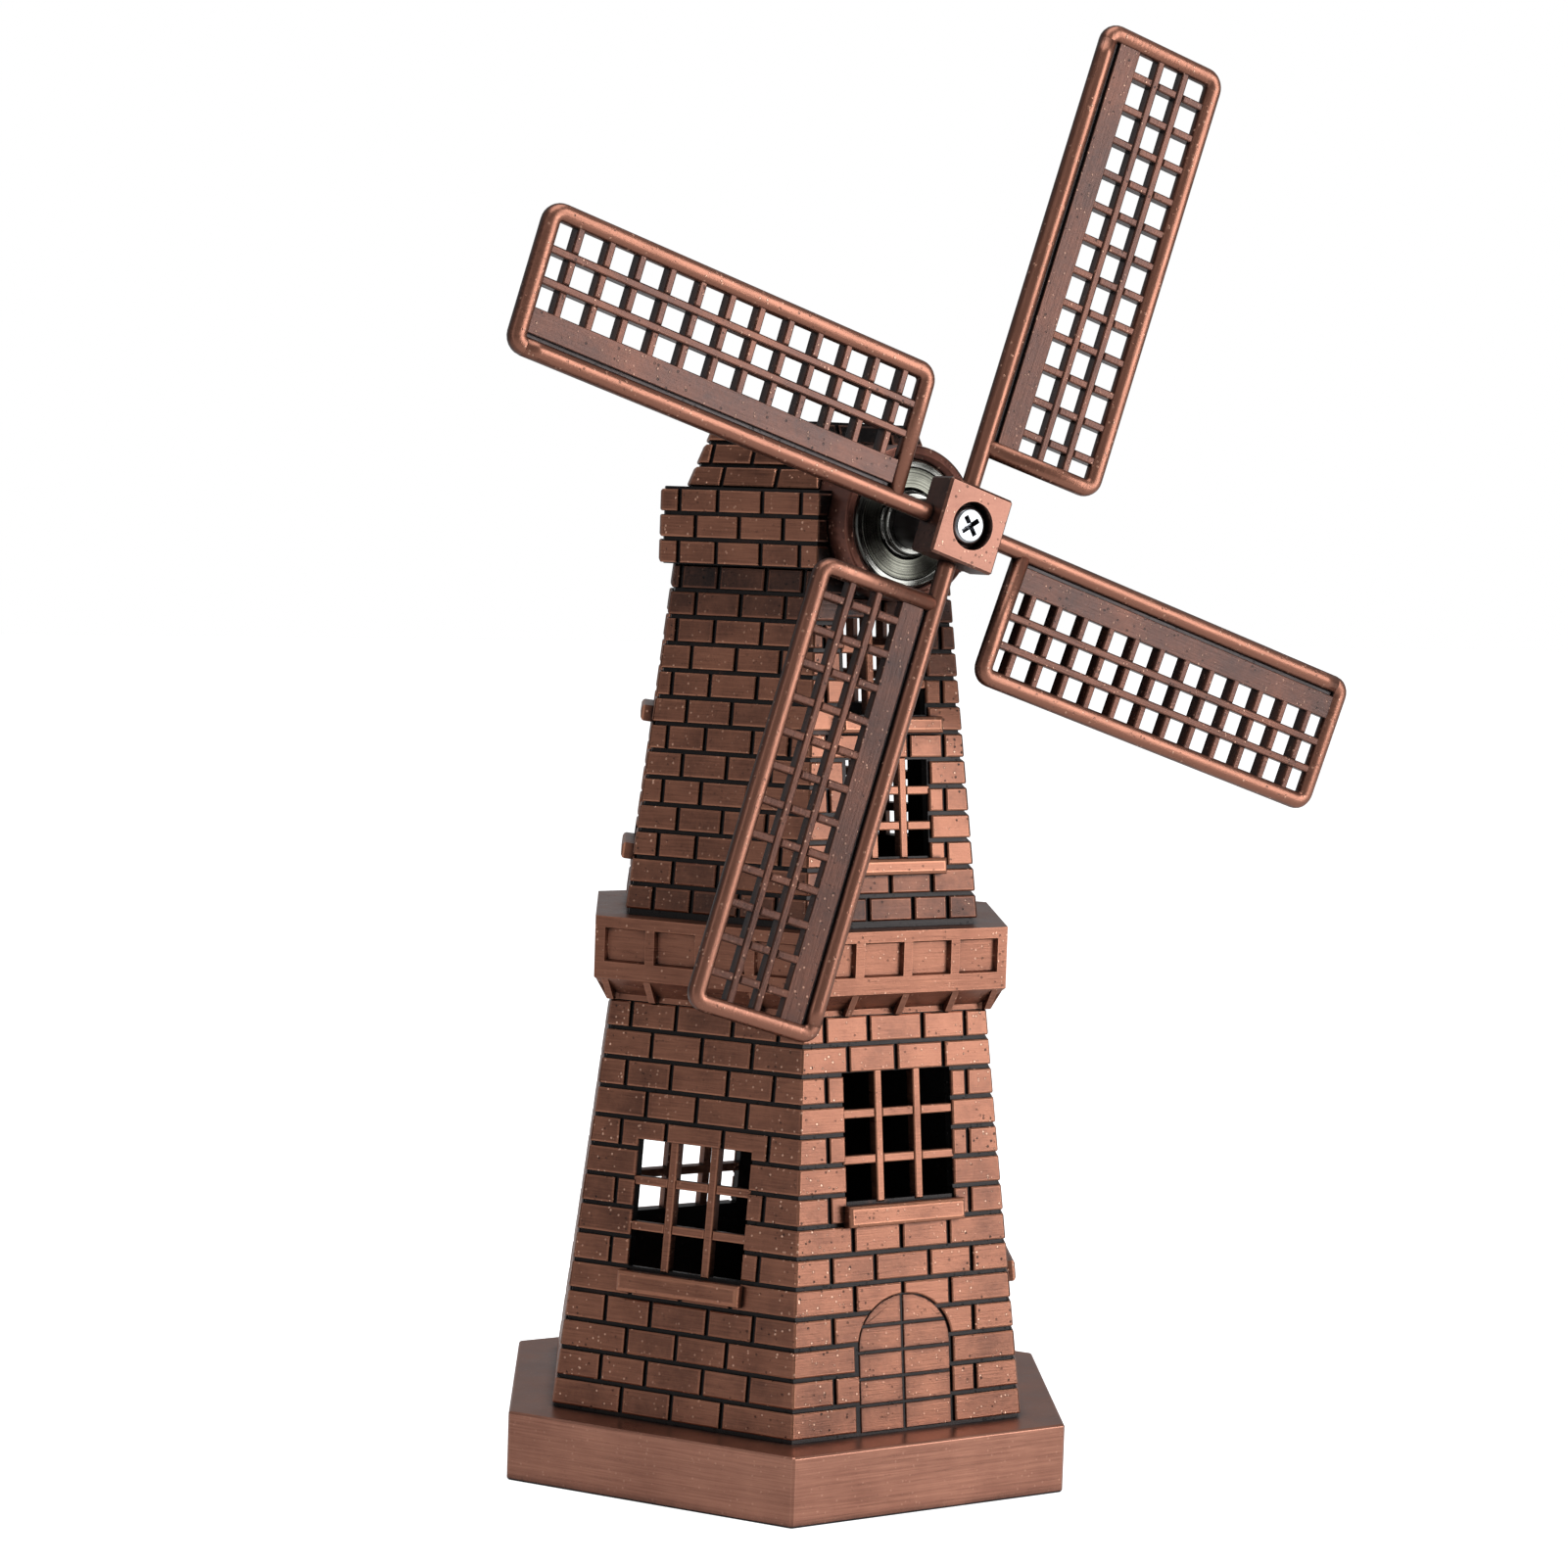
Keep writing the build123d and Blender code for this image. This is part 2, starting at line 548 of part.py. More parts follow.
for sail_name, sail_angle in SAIL_ANGLES.items():
    plane = sail_plane(sail_angle, SAIL_TWISTS[sail_name])
    spar_plane = Plane(
        origin=plane.origin + plane.y_dir * SPAR_START, x_dir=plane.x_dir, z_dir=plane.y_dir
    )
    with BuildPart() as sail:
        with BuildSketch(plane.offset(-SAIL_FRONT)):
            with Locations((SAIL_WIDTH / 2, (SAIL_ROOT + SAIL_TIP) / 2)):
                Rectangle(SAIL_WIDTH, SAIL_TIP - SAIL_ROOT)
        extrude(amount=RIM_DEPTH)
        far_corners = sail.edges().filter_by(Axis(plane.origin, plane.z_dir))
        fillet(far_corners.group_by(Axis(plane.origin, plane.x_dir))[-1], SAIL_CORNER)
        front_face = sail.faces().sort_by(Axis(plane.origin, plane.z_dir))[-1]
        fillet(front_face.edges(), RIM_ROUND)
        with BuildSketch(plane.offset(SAIL_FRONT - LATTICE_SETBACK)):
            with Locations(((SAIL_WIDTH - RIM) / 2, LATTICE_START + LATTICE_LENGTH / 2)):
                RectangleRounded(SAIL_WIDTH - RIM, LATTICE_LENGTH, 0.8)
        extrude(amount=RIM_DEPTH, mode=Mode.SUBTRACT)
        cells = []
        stations = [LATTICE_START - LATTICE_BAR / 2] + crossbar_places()
        stations.append(LATTICE_START + LATTICE_LENGTH + LATTICE_BAR / 2)
        for start, end in zip(stations, stations[1:]):
            for row in range(CELLS_ACROSS):
                middle = BOARD_EDGE + ROW * row + (ROW - LATTICE_BAR) / 2
                cells.append((middle, (start + end) / 2, end - start - LATTICE_BAR))
        with BuildSketch(plane.offset(SAIL_FRONT)):
            for across, along, length in cells:
                with Locations((across, along)):
                    Rectangle(ROW - LATTICE_BAR, length)
        extrude(amount=-2 * RIM_DEPTH, mode=Mode.SUBTRACT)
        with BuildSketch(spar_plane):
            Circle(SPAR_RADIUS)
        extrude(amount=SAIL_TIP - SPAR_START)
    save(sail, sail_name)
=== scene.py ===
from math import cos, hypot, pi, radians, sin, sqrt, tan

import bmesh
import bpy
from mathutils import Matrix, Vector


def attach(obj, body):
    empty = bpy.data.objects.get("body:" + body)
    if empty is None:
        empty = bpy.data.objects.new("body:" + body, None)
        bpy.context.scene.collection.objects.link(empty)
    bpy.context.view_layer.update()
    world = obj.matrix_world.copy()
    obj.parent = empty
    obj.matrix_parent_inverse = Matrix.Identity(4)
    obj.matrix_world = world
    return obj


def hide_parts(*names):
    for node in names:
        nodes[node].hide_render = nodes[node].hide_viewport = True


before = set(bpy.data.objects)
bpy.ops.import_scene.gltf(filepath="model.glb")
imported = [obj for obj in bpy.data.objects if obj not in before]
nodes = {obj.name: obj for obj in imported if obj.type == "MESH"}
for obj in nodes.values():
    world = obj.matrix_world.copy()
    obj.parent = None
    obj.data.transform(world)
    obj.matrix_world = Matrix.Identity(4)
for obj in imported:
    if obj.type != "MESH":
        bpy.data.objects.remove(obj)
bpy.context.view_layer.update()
MM = 0.001


# Viewpoint: a long lens a little above the balcony, off to the left of the rotor, rolled slightly
# so that the tower leans as it does on its stand.
view_turn, view_rise, view_roll = radians(-32.285), radians(4.129), radians(1.885)
view_distance = 0.5820
aim_right, aim_up = 0.0007, 0.1021

backwards = Vector((sin(view_turn) * cos(view_rise), -cos(view_turn) * cos(view_rise), sin(view_rise)))
level_right = (-backwards).cross(Vector((0, 0, 1))).normalized()
level_up = level_right.cross(-backwards)
camera_right = cos(view_roll) * level_right + sin(view_roll) * level_up
camera_up = -sin(view_roll) * level_right + cos(view_roll) * level_up

lens = bpy.data.cameras.new("camera")
lens.lens = 86.70
lens.sensor_width = 36
lens.clip_start = 0.01
camera = bpy.data.objects.new("camera", lens)
bpy.context.scene.collection.objects.link(camera)
turn = Matrix((camera_right, camera_up, backwards)).transposed().to_4x4()
spot = camera_right * aim_right + camera_up * aim_up + backwards * view_distance
camera.matrix_world = Matrix.Translation(spot) @ turn
bpy.context.scene.camera = camera
bpy.context.scene.view_settings.view_transform = "Standard"


# Studio: a pale floor under a white surround, one broad soft key from the rotor's right, a
# weaker fill from the left and a top light that catches the ledges.
world = bpy.data.worlds.new("studio")
bpy.context.scene.world = world
world.use_nodes = True
sky = world.node_tree
sky.nodes.clear()
sky_out = sky.nodes.new("ShaderNodeOutputWorld")
sky_mix = sky.nodes.new("ShaderNodeMixShader")
sky_seen = sky.nodes.new("ShaderNodeBackground")
sky_light = sky.nodes.new("ShaderNodeBackground")
sky_ray = sky.nodes.new("ShaderNodeLightPath")
sky_seen.inputs["Color"].default_value = (1, 1, 1, 1)
sky_seen.inputs["Strength"].default_value = 1.0
sky_light.inputs["Color"].default_value = (0.97, 0.98, 1, 1)
sky_light.inputs["Strength"].default_value = 0.30
sky.links.new(sky_ray.outputs["Is Camera Ray"], sky_mix.inputs["Fac"])
sky.links.new(sky_light.outputs[0], sky_mix.inputs[1])
sky.links.new(sky_seen.outputs[0], sky_mix.inputs[2])
sky.links.new(sky_mix.outputs[0], sky_out.inputs["Surface"])


def soft_light(name, place, target, size, watts, colour=(1, 1, 1)):
    lamp = bpy.data.lights.new(name, "AREA")
    lamp.shape = "RECTANGLE"
    lamp.size, lamp.size_y = size
    lamp.energy = watts
    lamp.color = colour
    holder = bpy.data.objects.new(name, lamp)
    bpy.context.scene.collection.objects.link(holder)
    aim = (Vector(target) - Vector(place)).to_track_quat("-Z", "Y")
    holder.matrix_world = Matrix.Translation(place) @ aim.to_matrix().to_4x4()


soft_light("key_light", (0.46, -0.66, 0.26), (0, 0, 0.09), (0.42, 0.62), 4.2)
soft_light("fill_light", (-0.75, -0.20, 0.22), (0, 0, 0.09), (0.30, 0.6), 0.45)
soft_light("top_light", (-0.05, -0.15, 0.75), (0, 0, 0.10), (0.6, 0.6), 3.0)

floor_half = 3.0
floor_mesh = bpy.data.meshes.new("studio_floor")
floor_corners = [(-floor_half, -floor_half, 0), (floor_half, -floor_half, 0)]
floor_corners += [(floor_half, floor_half, 0), (-floor_half, floor_half, 0)]
floor_mesh.from_pydata(floor_corners, [], [(0, 1, 2, 3)])
floor = bpy.data.objects.new("studio_floor", floor_mesh)
bpy.context.scene.collection.objects.link(floor)
floor_paint = bpy.data.materials.new("pale_floor")
floor_paint.use_nodes = True
floor_shader = floor_paint.node_tree.nodes["Principled BSDF"]
floor_shader.inputs["Base Color"].default_value = (0.9, 0.9, 0.9, 1)
floor_shader.inputs["Roughness"].default_value = 0.6
floor_shader.inputs["Emission Color"].default_value = (1, 1, 1, 1)
floor_seen = floor_paint.node_tree.nodes.new("ShaderNodeLightPath")
floor_lift = floor_paint.node_tree.nodes.new("ShaderNodeMath")
floor_lift.operation = "MULTIPLY"
floor_lift.inputs[1].default_value = 0.9
floor_paint.node_tree.links.new(floor_seen.outputs["Is Camera Ray"], floor_lift.inputs[0])
floor_paint.node_tree.links.new(floor_lift.outputs[0], floor_shader.inputs["Emission Strength"])
floor_mesh.materials.append(floor_paint)


# Antique copper: zinc castings plated with copper, blackened all over and then rubbed back, so
# that hollows stay near black and faces and edges come up bright, with fine brush lines and the
# pits and grains of the casting. The bright edges are partly painted highlight. One group makes the finish;
# each piece sets its own values.
def socket(group, name, kind, direction, value=None):
    made = group.interface.new_socket(name=name, in_out=direction, socket_type=kind)
    if value is not None:
        made.default_value = value
    return made


def add_node(tree, kind, **settings):
    made = tree.nodes.new(kind)
    for key, value in settings.items():
        if key == "inputs":
            for name, setting in value.items():
                made.inputs[name].default_value = setting
        else:
            setattr(made, key, value)
    return made


def math_node(tree, operation, first, second=None, third=None, clamp=False):
    made = add_node(tree, "ShaderNodeMath", operation=operation, use_clamp=clamp)
    for slot_number, value in enumerate((first, second, third)):
        if value is None:
            continue
        if isinstance(value, (int, float)):
            made.inputs[slot_number].default_value = value
        else:
            tree.links.new(value, made.inputs[slot_number])
    return made.outputs[0]


def mix_colour(tree, factor, first, second, blend="MIX"):
    made = add_node(tree, "ShaderNodeMix", data_type="RGBA", blend_type=blend)
    for place, value in ((0, factor), (6, first), (7, second)):
        if isinstance(value, (int, float, tuple)):
            made.inputs[place].default_value = value
        else:
            tree.links.new(value, made.inputs[place])
    return made.outputs[2]


def remap(tree, value, low, high, to_low=0.0, to_high=1.0):
    made = add_node(tree, "ShaderNodeMapRange")
    made.clamp = True
    for name, number in (("From Min", low), ("From Max", high), ("To Min", to_low), ("To Max", to_high)):
        made.inputs[name].default_value = number
    tree.links.new(value, made.inputs["Value"])
    return made.outputs["Result"]


def build_antique_copper():
    group = bpy.data.node_groups.new("antique_copper", "ShaderNodeTree")
    socket(group, "Place", "NodeSocketVector", "INPUT")
    socket(group, "Brush Place", "NodeSocketVector", "INPUT")
    socket(group, "Rub And Painted Light", "NodeSocketFloat", "INPUT", 1.0)
    socket(group, "Edge", "NodeSocketFloat", "INPUT", 0.0)
    socket(group, "Bright", "NodeSocketColor", "INPUT", (0.5, 0.25, 0.16, 1))
    socket(group, "Copper", "NodeSocketColor", "INPUT", (0.3, 0.12, 0.07, 1))
    socket(group, "Patina", "NodeSocketColor", "INPUT", (0.014, 0.011, 0.011, 1))
    socket(group, "Pits", "NodeSocketFloat", "INPUT", 0.5)
    socket(group, "Brushing", "NodeSocketFloat", "INPUT", 0.5)
    socket(group, "Color", "NodeSocketColor", "OUTPUT")
    socket(group, "Roughness", "NodeSocketFloat", "OUTPUT")
    socket(group, "Height", "NodeSocketFloat", "OUTPUT")
    inside = add_node(group, "NodeGroupInput")
    outside = add_node(group, "NodeGroupOutput")
    link = group.links.new

    cloud = add_node(group, "ShaderNodeTexNoise", inputs={"Scale": 95.0, "Detail": 5.0, "Roughness": 0.6})
    link(inside.outputs["Place"], cloud.inputs["Vector"])
    brush = add_node(group, "ShaderNodeTexNoise", inputs={"Scale": 1.0, "Detail": 4.0, "Roughness": 0.65})
    link(inside.outputs["Brush Place"], brush.inputs["Vector"])
    grain_values = {"Scale": 1500.0, "Detail": 3.0, "Roughness": 0.7}
    grains = add_node(group, "ShaderNodeTexNoise", inputs=grain_values)
    link(inside.outputs["Place"], grains.inputs["Vector"])
    patch_values = {"Scale": 210.0, "Detail": 3.0, "Roughness": 0.6}
    patches = add_node(group, "ShaderNodeTexNoise", inputs=patch_values)
    link(inside.outputs["Place"], patches.inputs["Vector"])
    cells = add_node(group, "ShaderNodeTexVoronoi", inputs={"Scale": 1600.0, "Randomness": 1.0})
    link(inside.outputs["Place"], cells.inputs["Vector"])

    where_pitted = remap(group, patches.outputs["Fac"], 0.40, 0.52)
    pit_shape = remap(group, cells.outputs["Distance"], 0.34, 0.20)
    pit = math_node(group, "MULTIPLY", pit_shape, where_pitted)
    pit = math_node(group, "MULTIPLY", pit, inside.outputs["Pits"], clamp=True)
    kind = add_node(group, "ShaderNodeSeparateColor")
    link(cells.outputs["Color"], kind.inputs[0])
    raised = math_node(group, "GREATER_THAN", kind.outputs[0], 0.78)
    sunk = math_node(group, "LESS_THAN", kind.outputs[0], 0.12)
    speck = math_node(group, "MULTIPLY", pit, raised)
    hollow = math_node(group, "MULTIPLY", pit, sunk)

    streak = remap(group, brush.outputs["Fac"], 0.34, 0.66)
    cloudy = remap(group, cloud.outputs["Fac"], 0.3, 0.7)
    tone = math_node(group, "MULTIPLY", streak, inside.outputs["Brushing"])
    tone = math_node(group, "MULTIPLY_ADD", cloudy, 0.4, tone)
    tone = math_node(group, "MULTIPLY", tone, inside.outputs["Rub And Painted Light"], clamp=True)
    # Brighter edges: partly rubbed wear, partly painted highlight.
    tone = math_node(group, "MULTIPLY_ADD", inside.outputs["Edge"], 0.8, tone, clamp=True)
    tone = math_node(group, "MULTIPLY_ADD", speck, 0.9, tone, clamp=True)
    metal = mix_colour(group, tone, inside.outputs["Copper"], inside.outputs["Bright"])
    metal = mix_colour(group, speck, metal, (0.72, 0.43, 0.31, 1))

    ragged = math_node(group, "MULTIPLY_ADD", grains.outputs["Fac"], 0.3, -0.15)
    ragged = math_node(group, "MULTIPLY_ADD", cloudy, 0.3, ragged)
    rub_and_painted_light = math_node(group, "ADD", inside.outputs["Rub And Painted Light"], ragged)
    rub_and_painted_light = remap(group, rub_and_painted_light, 0.22, 0.88)
    rub_and_painted_light = math_node(group, "MULTIPLY_ADD", hollow, -0.55, rub_and_painted_light, clamp=True)
    link(mix_colour(group, rub_and_painted_light, inside.outputs["Patina"], metal), outside.inputs["Color"])

    rough = math_node(group, "MULTIPLY_ADD", streak, 0.12, 0.27)
    rough = math_node(group, "MULTIPLY_ADD", hollow, 0.2, rough)
    link(rough, outside.inputs["Roughness"])

    height = math_node(group, "MULTIPLY", brush.outputs["Fac"], inside.outputs["Brushing"])
    height = math_node(group, "MULTIPLY_ADD", grains.outputs["Fac"], 0.3, height)
    height = math_node(group, "MULTIPLY_ADD", hollow, -1.6, height)
    height = math_node(group, "MULTIPLY_ADD", speck, 1.2, height)
    link(height, outside.inputs["Height"])
    return group


antique_copper = build_antique_copper()


def copper_material(name, bright, copper, brush_stretch, rub_and_painted_light=None, pits=0.5, brushing=0.5, bump=0.5,
                    crevice=0.0013, brush_from=None, patina=(0.014, 0.011, 0.011), round_edges=0.0003,
                    painted_side_shade=False, pitted_beyond=None):
    """A copper finish. The rub attribute, when given, says how far the surface is rubbed back and also
    carries painted light and shade; without one, edges are found by how they round off. Bright edges are
    partly painted highlight. Nooks within the crevice distance stay dark."""
    made = bpy.data.materials.new(name)
    made.use_nodes = True
    tree = made.node_tree
    shader = tree.nodes["Principled BSDF"]
    finish = add_node(tree, "ShaderNodeGroup", node_tree=antique_copper)
    coordinates = add_node(tree, "ShaderNodeTexCoord")
    place = coordinates.outputs["Object"]
    tree.links.new(place, finish.inputs["Place"])
    stretch = add_node(tree, "ShaderNodeVectorMath", operation="MULTIPLY")
    stretch.inputs[1].default_value = brush_stretch
    source = place
    if brush_from:
        source = add_node(tree, "ShaderNodeAttribute", attribute_name=brush_from).outputs["Vector"]
    tree.links.new(source, stretch.inputs[0])
    tree.links.new(stretch.outputs[0], finish.inputs["Brush Place"])
    nook = add_node(tree, "ShaderNodeAmbientOcclusion", samples=8, inputs={"Distance": crevice})
    openness_and_painted_light = remap(tree, nook.outputs["AO"], 0.35, 0.85)
    if rub_and_painted_light:
        wear_and_painted_light = add_node(tree, "ShaderNodeAttribute", attribute_name=rub_and_painted_light).outputs["Fac"]
        openness_and_painted_light = math_node(tree, "MULTIPLY", openness_and_painted_light, wear_and_painted_light)
        edge = remap(tree, wear_and_painted_light, 0.80, 1.0)
    else:
        rounded = add_node(tree, "ShaderNodeBevel", samples=6, inputs={"Radius": round_edges})
        straight = add_node(tree, "ShaderNodeNewGeometry")
        meet = add_node(tree, "ShaderNodeVectorMath", operation="DOT_PRODUCT")
        tree.links.new(rounded.outputs["Normal"], meet.inputs[0])
        tree.links.new(straight.outputs["Normal"], meet.inputs[1])
        edge = remap(tree, meet.outputs["Value"], 0.99, 0.90)
    # Painted shade: faces that turn away from the front are darkened.
    if painted_side_shade:
        facing = add_node(tree, "ShaderNodeSeparateXYZ")
        tree.links.new(coordinates.outputs["Normal"], facing.inputs[0])
        front = remap(tree, facing.outputs["Y"], -0.5, -0.85, 0.34, 1.0)
        openness_and_painted_light = math_node(tree, "MULTIPLY", openness_and_painted_light, front)
    edge = math_node(tree, "MULTIPLY", edge, openness_and_painted_light)
    tree.links.new(openness_and_painted_light, finish.inputs["Rub And Painted Light"])
    tree.links.new(edge, finish.inputs["Edge"])
    finish.inputs["Bright"].default_value = (*bright, 1)
    finish.inputs["Copper"].default_value = (*copper, 1)
    finish.inputs["Patina"].default_value = (*patina, 1)
    finish.inputs["Pits"].default_value = pits
    if pitted_beyond:
        laid = add_node(tree, "ShaderNodeAttribute", attribute_name="grain")
        along = add_node(tree, "ShaderNodeSeparateXYZ")
        tree.links.new(laid.outputs["Vector"], along.inputs[0])
        off_centre = math_node(tree, "ABSOLUTE", along.outputs["X"])
        spread = remap(tree, off_centre, pitted_beyond, 2.6 * pitted_beyond, 0.3 * pits, pits)
        tree.links.new(spread, finish.inputs["Pits"])
    finish.inputs["Brushing"].default_value = brushing
    ripple = add_node(tree, "ShaderNodeBump", inputs={"Strength": bump, "Distance": 0.00012})
    tree.links.new(finish.outputs["Height"], ripple.inputs["Height"])
    tree.links.new(ripple.outputs["Normal"], shader.inputs["Normal"])
    tree.links.new(finish.outputs["Color"], shader.inputs["Base Color"])
    tree.links.new(finish.outputs["Roughness"], shader.inputs["Roughness"])
    shader.inputs["Metallic"].default_value = 0.85
    shader.inputs["Coat Weight"].default_value = 0.12
    shader.inputs["Coat Roughness"].default_value = 0.25
    return made


def dress(node_name, material):
    """A CAD node keeps its shape, gets softened edges and takes a finish."""
    node = nodes[node_name]
    node.data.materials.clear()
    node.data.materials.append(material)
    weld = node.modifiers.new("weld", "WELD")
    weld.merge_threshold = 0.00001
    soften = node.modifiers.new("soften", "BEVEL")
    soften.limit_method = "ANGLE"
    soften.angle_limit = radians(35)
    soften.width = 0.00018
    soften.segments = 2
    soften.harden_normals = True


# Base slab: a plain hexagonal casting, ground flat and polished on top so that the tower mirrors
# in it, and brushed along its sides.
base_copper = copper_material(
    "base_copper", (0.46, 0.215, 0.145), (0.22, 0.092, 0.063), (90, 90, 3600), brushing=0.5, pits=0.15,
    bump=0.25, crevice=0.003, round_edges=0.0005,
)
dress("base_plate", base_copper)


# Solid forms shared by the castings: a raised block with a rounded front edge, laid out on a flat
# side whose x runs right, y up the slope and z outwards.
class Casting:
    """Gathers a piece's geometry in millimetres, with how far each corner is rubbed back, together with
    painted light and shade.
    """

    def __init__(self):
        self.mesh = bmesh.new()
        self.rub_and_painted_light = self.mesh.verts.layers.float.new("rub_and_painted_light")
        self.grain = self.mesh.verts.layers.float_vector.new("grain")

    def corner(self, side, u, y, depth, rub_and_painted_light):
        vertex = self.mesh.verts.new(side.point(u, y, depth) * MM)
        vertex[self.rub_and_painted_light] = rub_and_painted_light
        vertex[self.grain] = Vector((u, y, depth)) * MM
        return vertex

    def face(self, corners):
        return self.mesh.faces.new(corners)

    def block(self, side, outline, back, front, edge=0.18, shine=0.75, dark=0.15, rim=1.0, fade=0.3):
        """A prism on an outline that runs anticlockwise, its front edge rounded off. Its rounded edge
        takes the value rim and its face the value shine, with a short fade between them; a bright edge is
        partly rubbed wear and partly painted highlight."""
        layers = (
            (outline, back, dark), (outline, front - edge, 0.8 * rim),
            (inset(outline, edge * 0.25), front - edge * 0.43, rim),
            (inset(outline, edge), front, 0.95 * rim), (inset(outline, fade), front, shine),
        )
        rings = [
            [self.corner(side, u, y, depth, rub_and_painted_light) for u, y in shape] for shape, depth, rub_and_painted_light in layers
        ]
        for low, high in zip(rings, rings[1:]):
            for k in range(len(outline)):
                after = (k + 1) % len(outline)
                self.face((low[k], low[after], high[after], high[k]))
        self.face(rings[-1])
        self.face(rings[0][::-1])

    def finish(self, name, material, body, *replaced):
        bmesh.ops.recalc_face_normals(self.mesh, faces=self.mesh.faces)
        shape = bpy.data.meshes.new(name)
        self.mesh.to_mesh(shape)
        self.mesh.free()
        piece = bpy.data.objects.new(name, shape)
        bpy.context.scene.collection.objects.link(piece)
        shape.materials.append(material)
        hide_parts(*replaced)
        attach(piece, body)
        return piece


def inset(outline, distance):
    """The outline moved inwards by a distance, its corners kept."""
    moved = []
    for k, (u, y) in enumerate(outline):
        before, after = outline[k - 1], outline[(k + 1) % len(outline)]
        into = Vector((u - before[0], y - before[1])).normalized()
        out = Vector((after[0] - u, after[1] - y)).normalized()
        left_in, left_out = Vector((-into.y, into.x)), Vector((-out.y, out.x))
        bisector = left_in + left_out
        reach = distance / max(bisector.dot(left_in), 0.35)
        moved.append((u + bisector.x * reach, y + bisector.y * reach))
    return moved


class Side:
    """One side of a hexagonal storey. Heights are real heights; the slope is worked out here."""

    def __init__(self, number, foot_radius, head_radius, foot_z, head_z):
        angle = radians(-90 + 60 * number)
        self.outward = Vector((cos(angle), sin(angle), 0))
        self.across = Vector((-sin(angle), cos(angle), 0))
        self.foot_radius, self.head_radius = foot_radius, head_radius
        self.foot_z, self.head_z = foot_z, head_z
        self.lean = (foot_radius - head_radius) * cos(radians(30)) / (head_z - foot_z)
        steep = sqrt(1 + self.lean ** 2)
        self.normal = (self.outward + Vector((0, 0, self.lean))) / steep

    def radius(self, z):
        share = (z - self.foot_z) / (self.head_z - self.foot_z)
        return self.foot_radius + (self.head_radius - self.foot_radius) * share

    def point(self, u, z, depth):
        mitre = self.half_width(z) + depth * tan(radians(30))
        u = max(min(u, mitre), -mitre)
        flat = self.radius(z) * cos(radians(30))
        return self.outward * flat + self.across * u + Vector((0, 0, z)) + self.normal * depth

    def half_width(self, z):
        return self.radius(z) / 2


# Bricks: 3.4 to 3.7 mm high with 0.58 mm joints, cast 0.62 mm proud of the wall, each with a softly
# rounded face. Bricks that meet a window, the door or the bearing housing are cut to its outline.
MORTAR = 0.58
RELIEF = 0.62
ROOT = 0.25


class Hole:
    """An opening in the brickwork between two heights, with a half width at each height."""

    def __init__(self, low, high, half_width):
        self.low, self.high, self.half_width = low, high, half_width


def brick_outlines(left, right, low, high, holes):
    """The outline of one brick, cut back from the holes it meets."""
    middle = (left(low) + right(low)) / 2
    for hole in holes:
        if high <= hole.low or low >= hole.high:
            continue
        reach = max(hole.half_width(z) for z in levels(max(low, hole.low), min(high, hole.high)))
        if left(low) >= reach or right(low) <= -reach:
            continue
        least = min(hole.half_width(z) for z in (max(low, hole.low), min(high, hole.high)))
        inside = left(low) > -least - 0.3 and right(low) < least + 0.3
        if inside or (left(low) < -least and right(low) > least):
            if low < hole.low:
                high = hole.low
            elif high > hole.high:
                low = hole.high
            else:
                return []
            continue
        return [cut_outline(left, right, low, high, hole, middle < 0)]
    if high - low < 0.5:
        return []
    return [[(left(low), low), (right(low), low), (right(high), high), (left(high), high)]]


def levels(low, high, steps=8):
    return [low + (high - low) * k / steps for k in range(steps + 1)]


def cut_outline(left, right, low, high, hole, on_left):
    """A brick beside a hole: the edge next to the hole follows the hole's outline."""
    first, last = max(low, hole.low), min(high, hole.high)
    edge = [(-1 if on_left else 1, z, hole.half_width(z)) for z in levels(first, last)]
    straight = max(width for _, _, width in edge) - min(width for _, _, width in edge) < 0.01
    if straight:
        edge = [edge[0], edge[-1]]
    beside = [(way * width, z) for way, z, width in edge]
    if on_left:
        beside = [(min(u, right(z)), z) for u, z in beside]
        outline = [(left(low), low)]
        if first > low:
            outline += [(right(low), low), (right(first), first)]
        outline += beside
        if last < high:
            outline += [(right(last), last), (right(high), high)]
        outline.append((left(high), high))
    else:
        beside = [(max(u, left(z)), z) for u, z in beside]
        outline = [(right(high), high)]
        if last < high:
            outline += [(left(high), high), (left(last), last)]
        outline += beside[::-1]
        if first > low:
            outline += [(left(first), first), (left(low), low)]
        outline.append((right(low), low))
    tidy = []
    for spot in outline:
        if not tidy or hypot(spot[0] - tidy[-1][0], spot[1] - tidy[-1][1]) > 0.02:
            tidy.append(spot)
    return tidy


def lay_bricks(casting, side, first_bed, course, courses, joints, holes=(), darkened_courses=()):
    """Courses of bricks over one side, each one's face set a hair in or out. The darkened courses
    are listed with how bright each one is; near the rotor this darkening is painted shade."""
    for row in range(courses):
        low = first_bed + row * course + MORTAR / 2
        high = min(first_bed + (row + 1) * course - MORTAR / 2, side.head_z)
        stops = [None, *joints[row % 2], None]
        for before, after in zip(stops, stops[1:]):
            def left(z, stop=before):
                return -side.half_width(z) if stop is None else stop + MORTAR / 2

            def right(z, stop=after):
                return side.half_width(z) if stop is None else stop - MORTAR / 2

            if right(high) - left(high) < 0.6:
                continue
            uneven = 0.05 * sin(12.9 * row + 7.3 * (before or -20) + 3.1 * side.outward.x)
            shine = dict(darkened_courses).get(row, 0.70) + 1.2 * uneven
            rim = 0.92 if shine > 0.55 else shine + 0.3
            for outline in brick_outlines(left, right, low, high, holes):
                casting.block(side, outline, -RELIEF - ROOT, uneven * 0.8 - 0.04, edge=0.25,
                              shine=shine, rim=rim, fade=0.42)


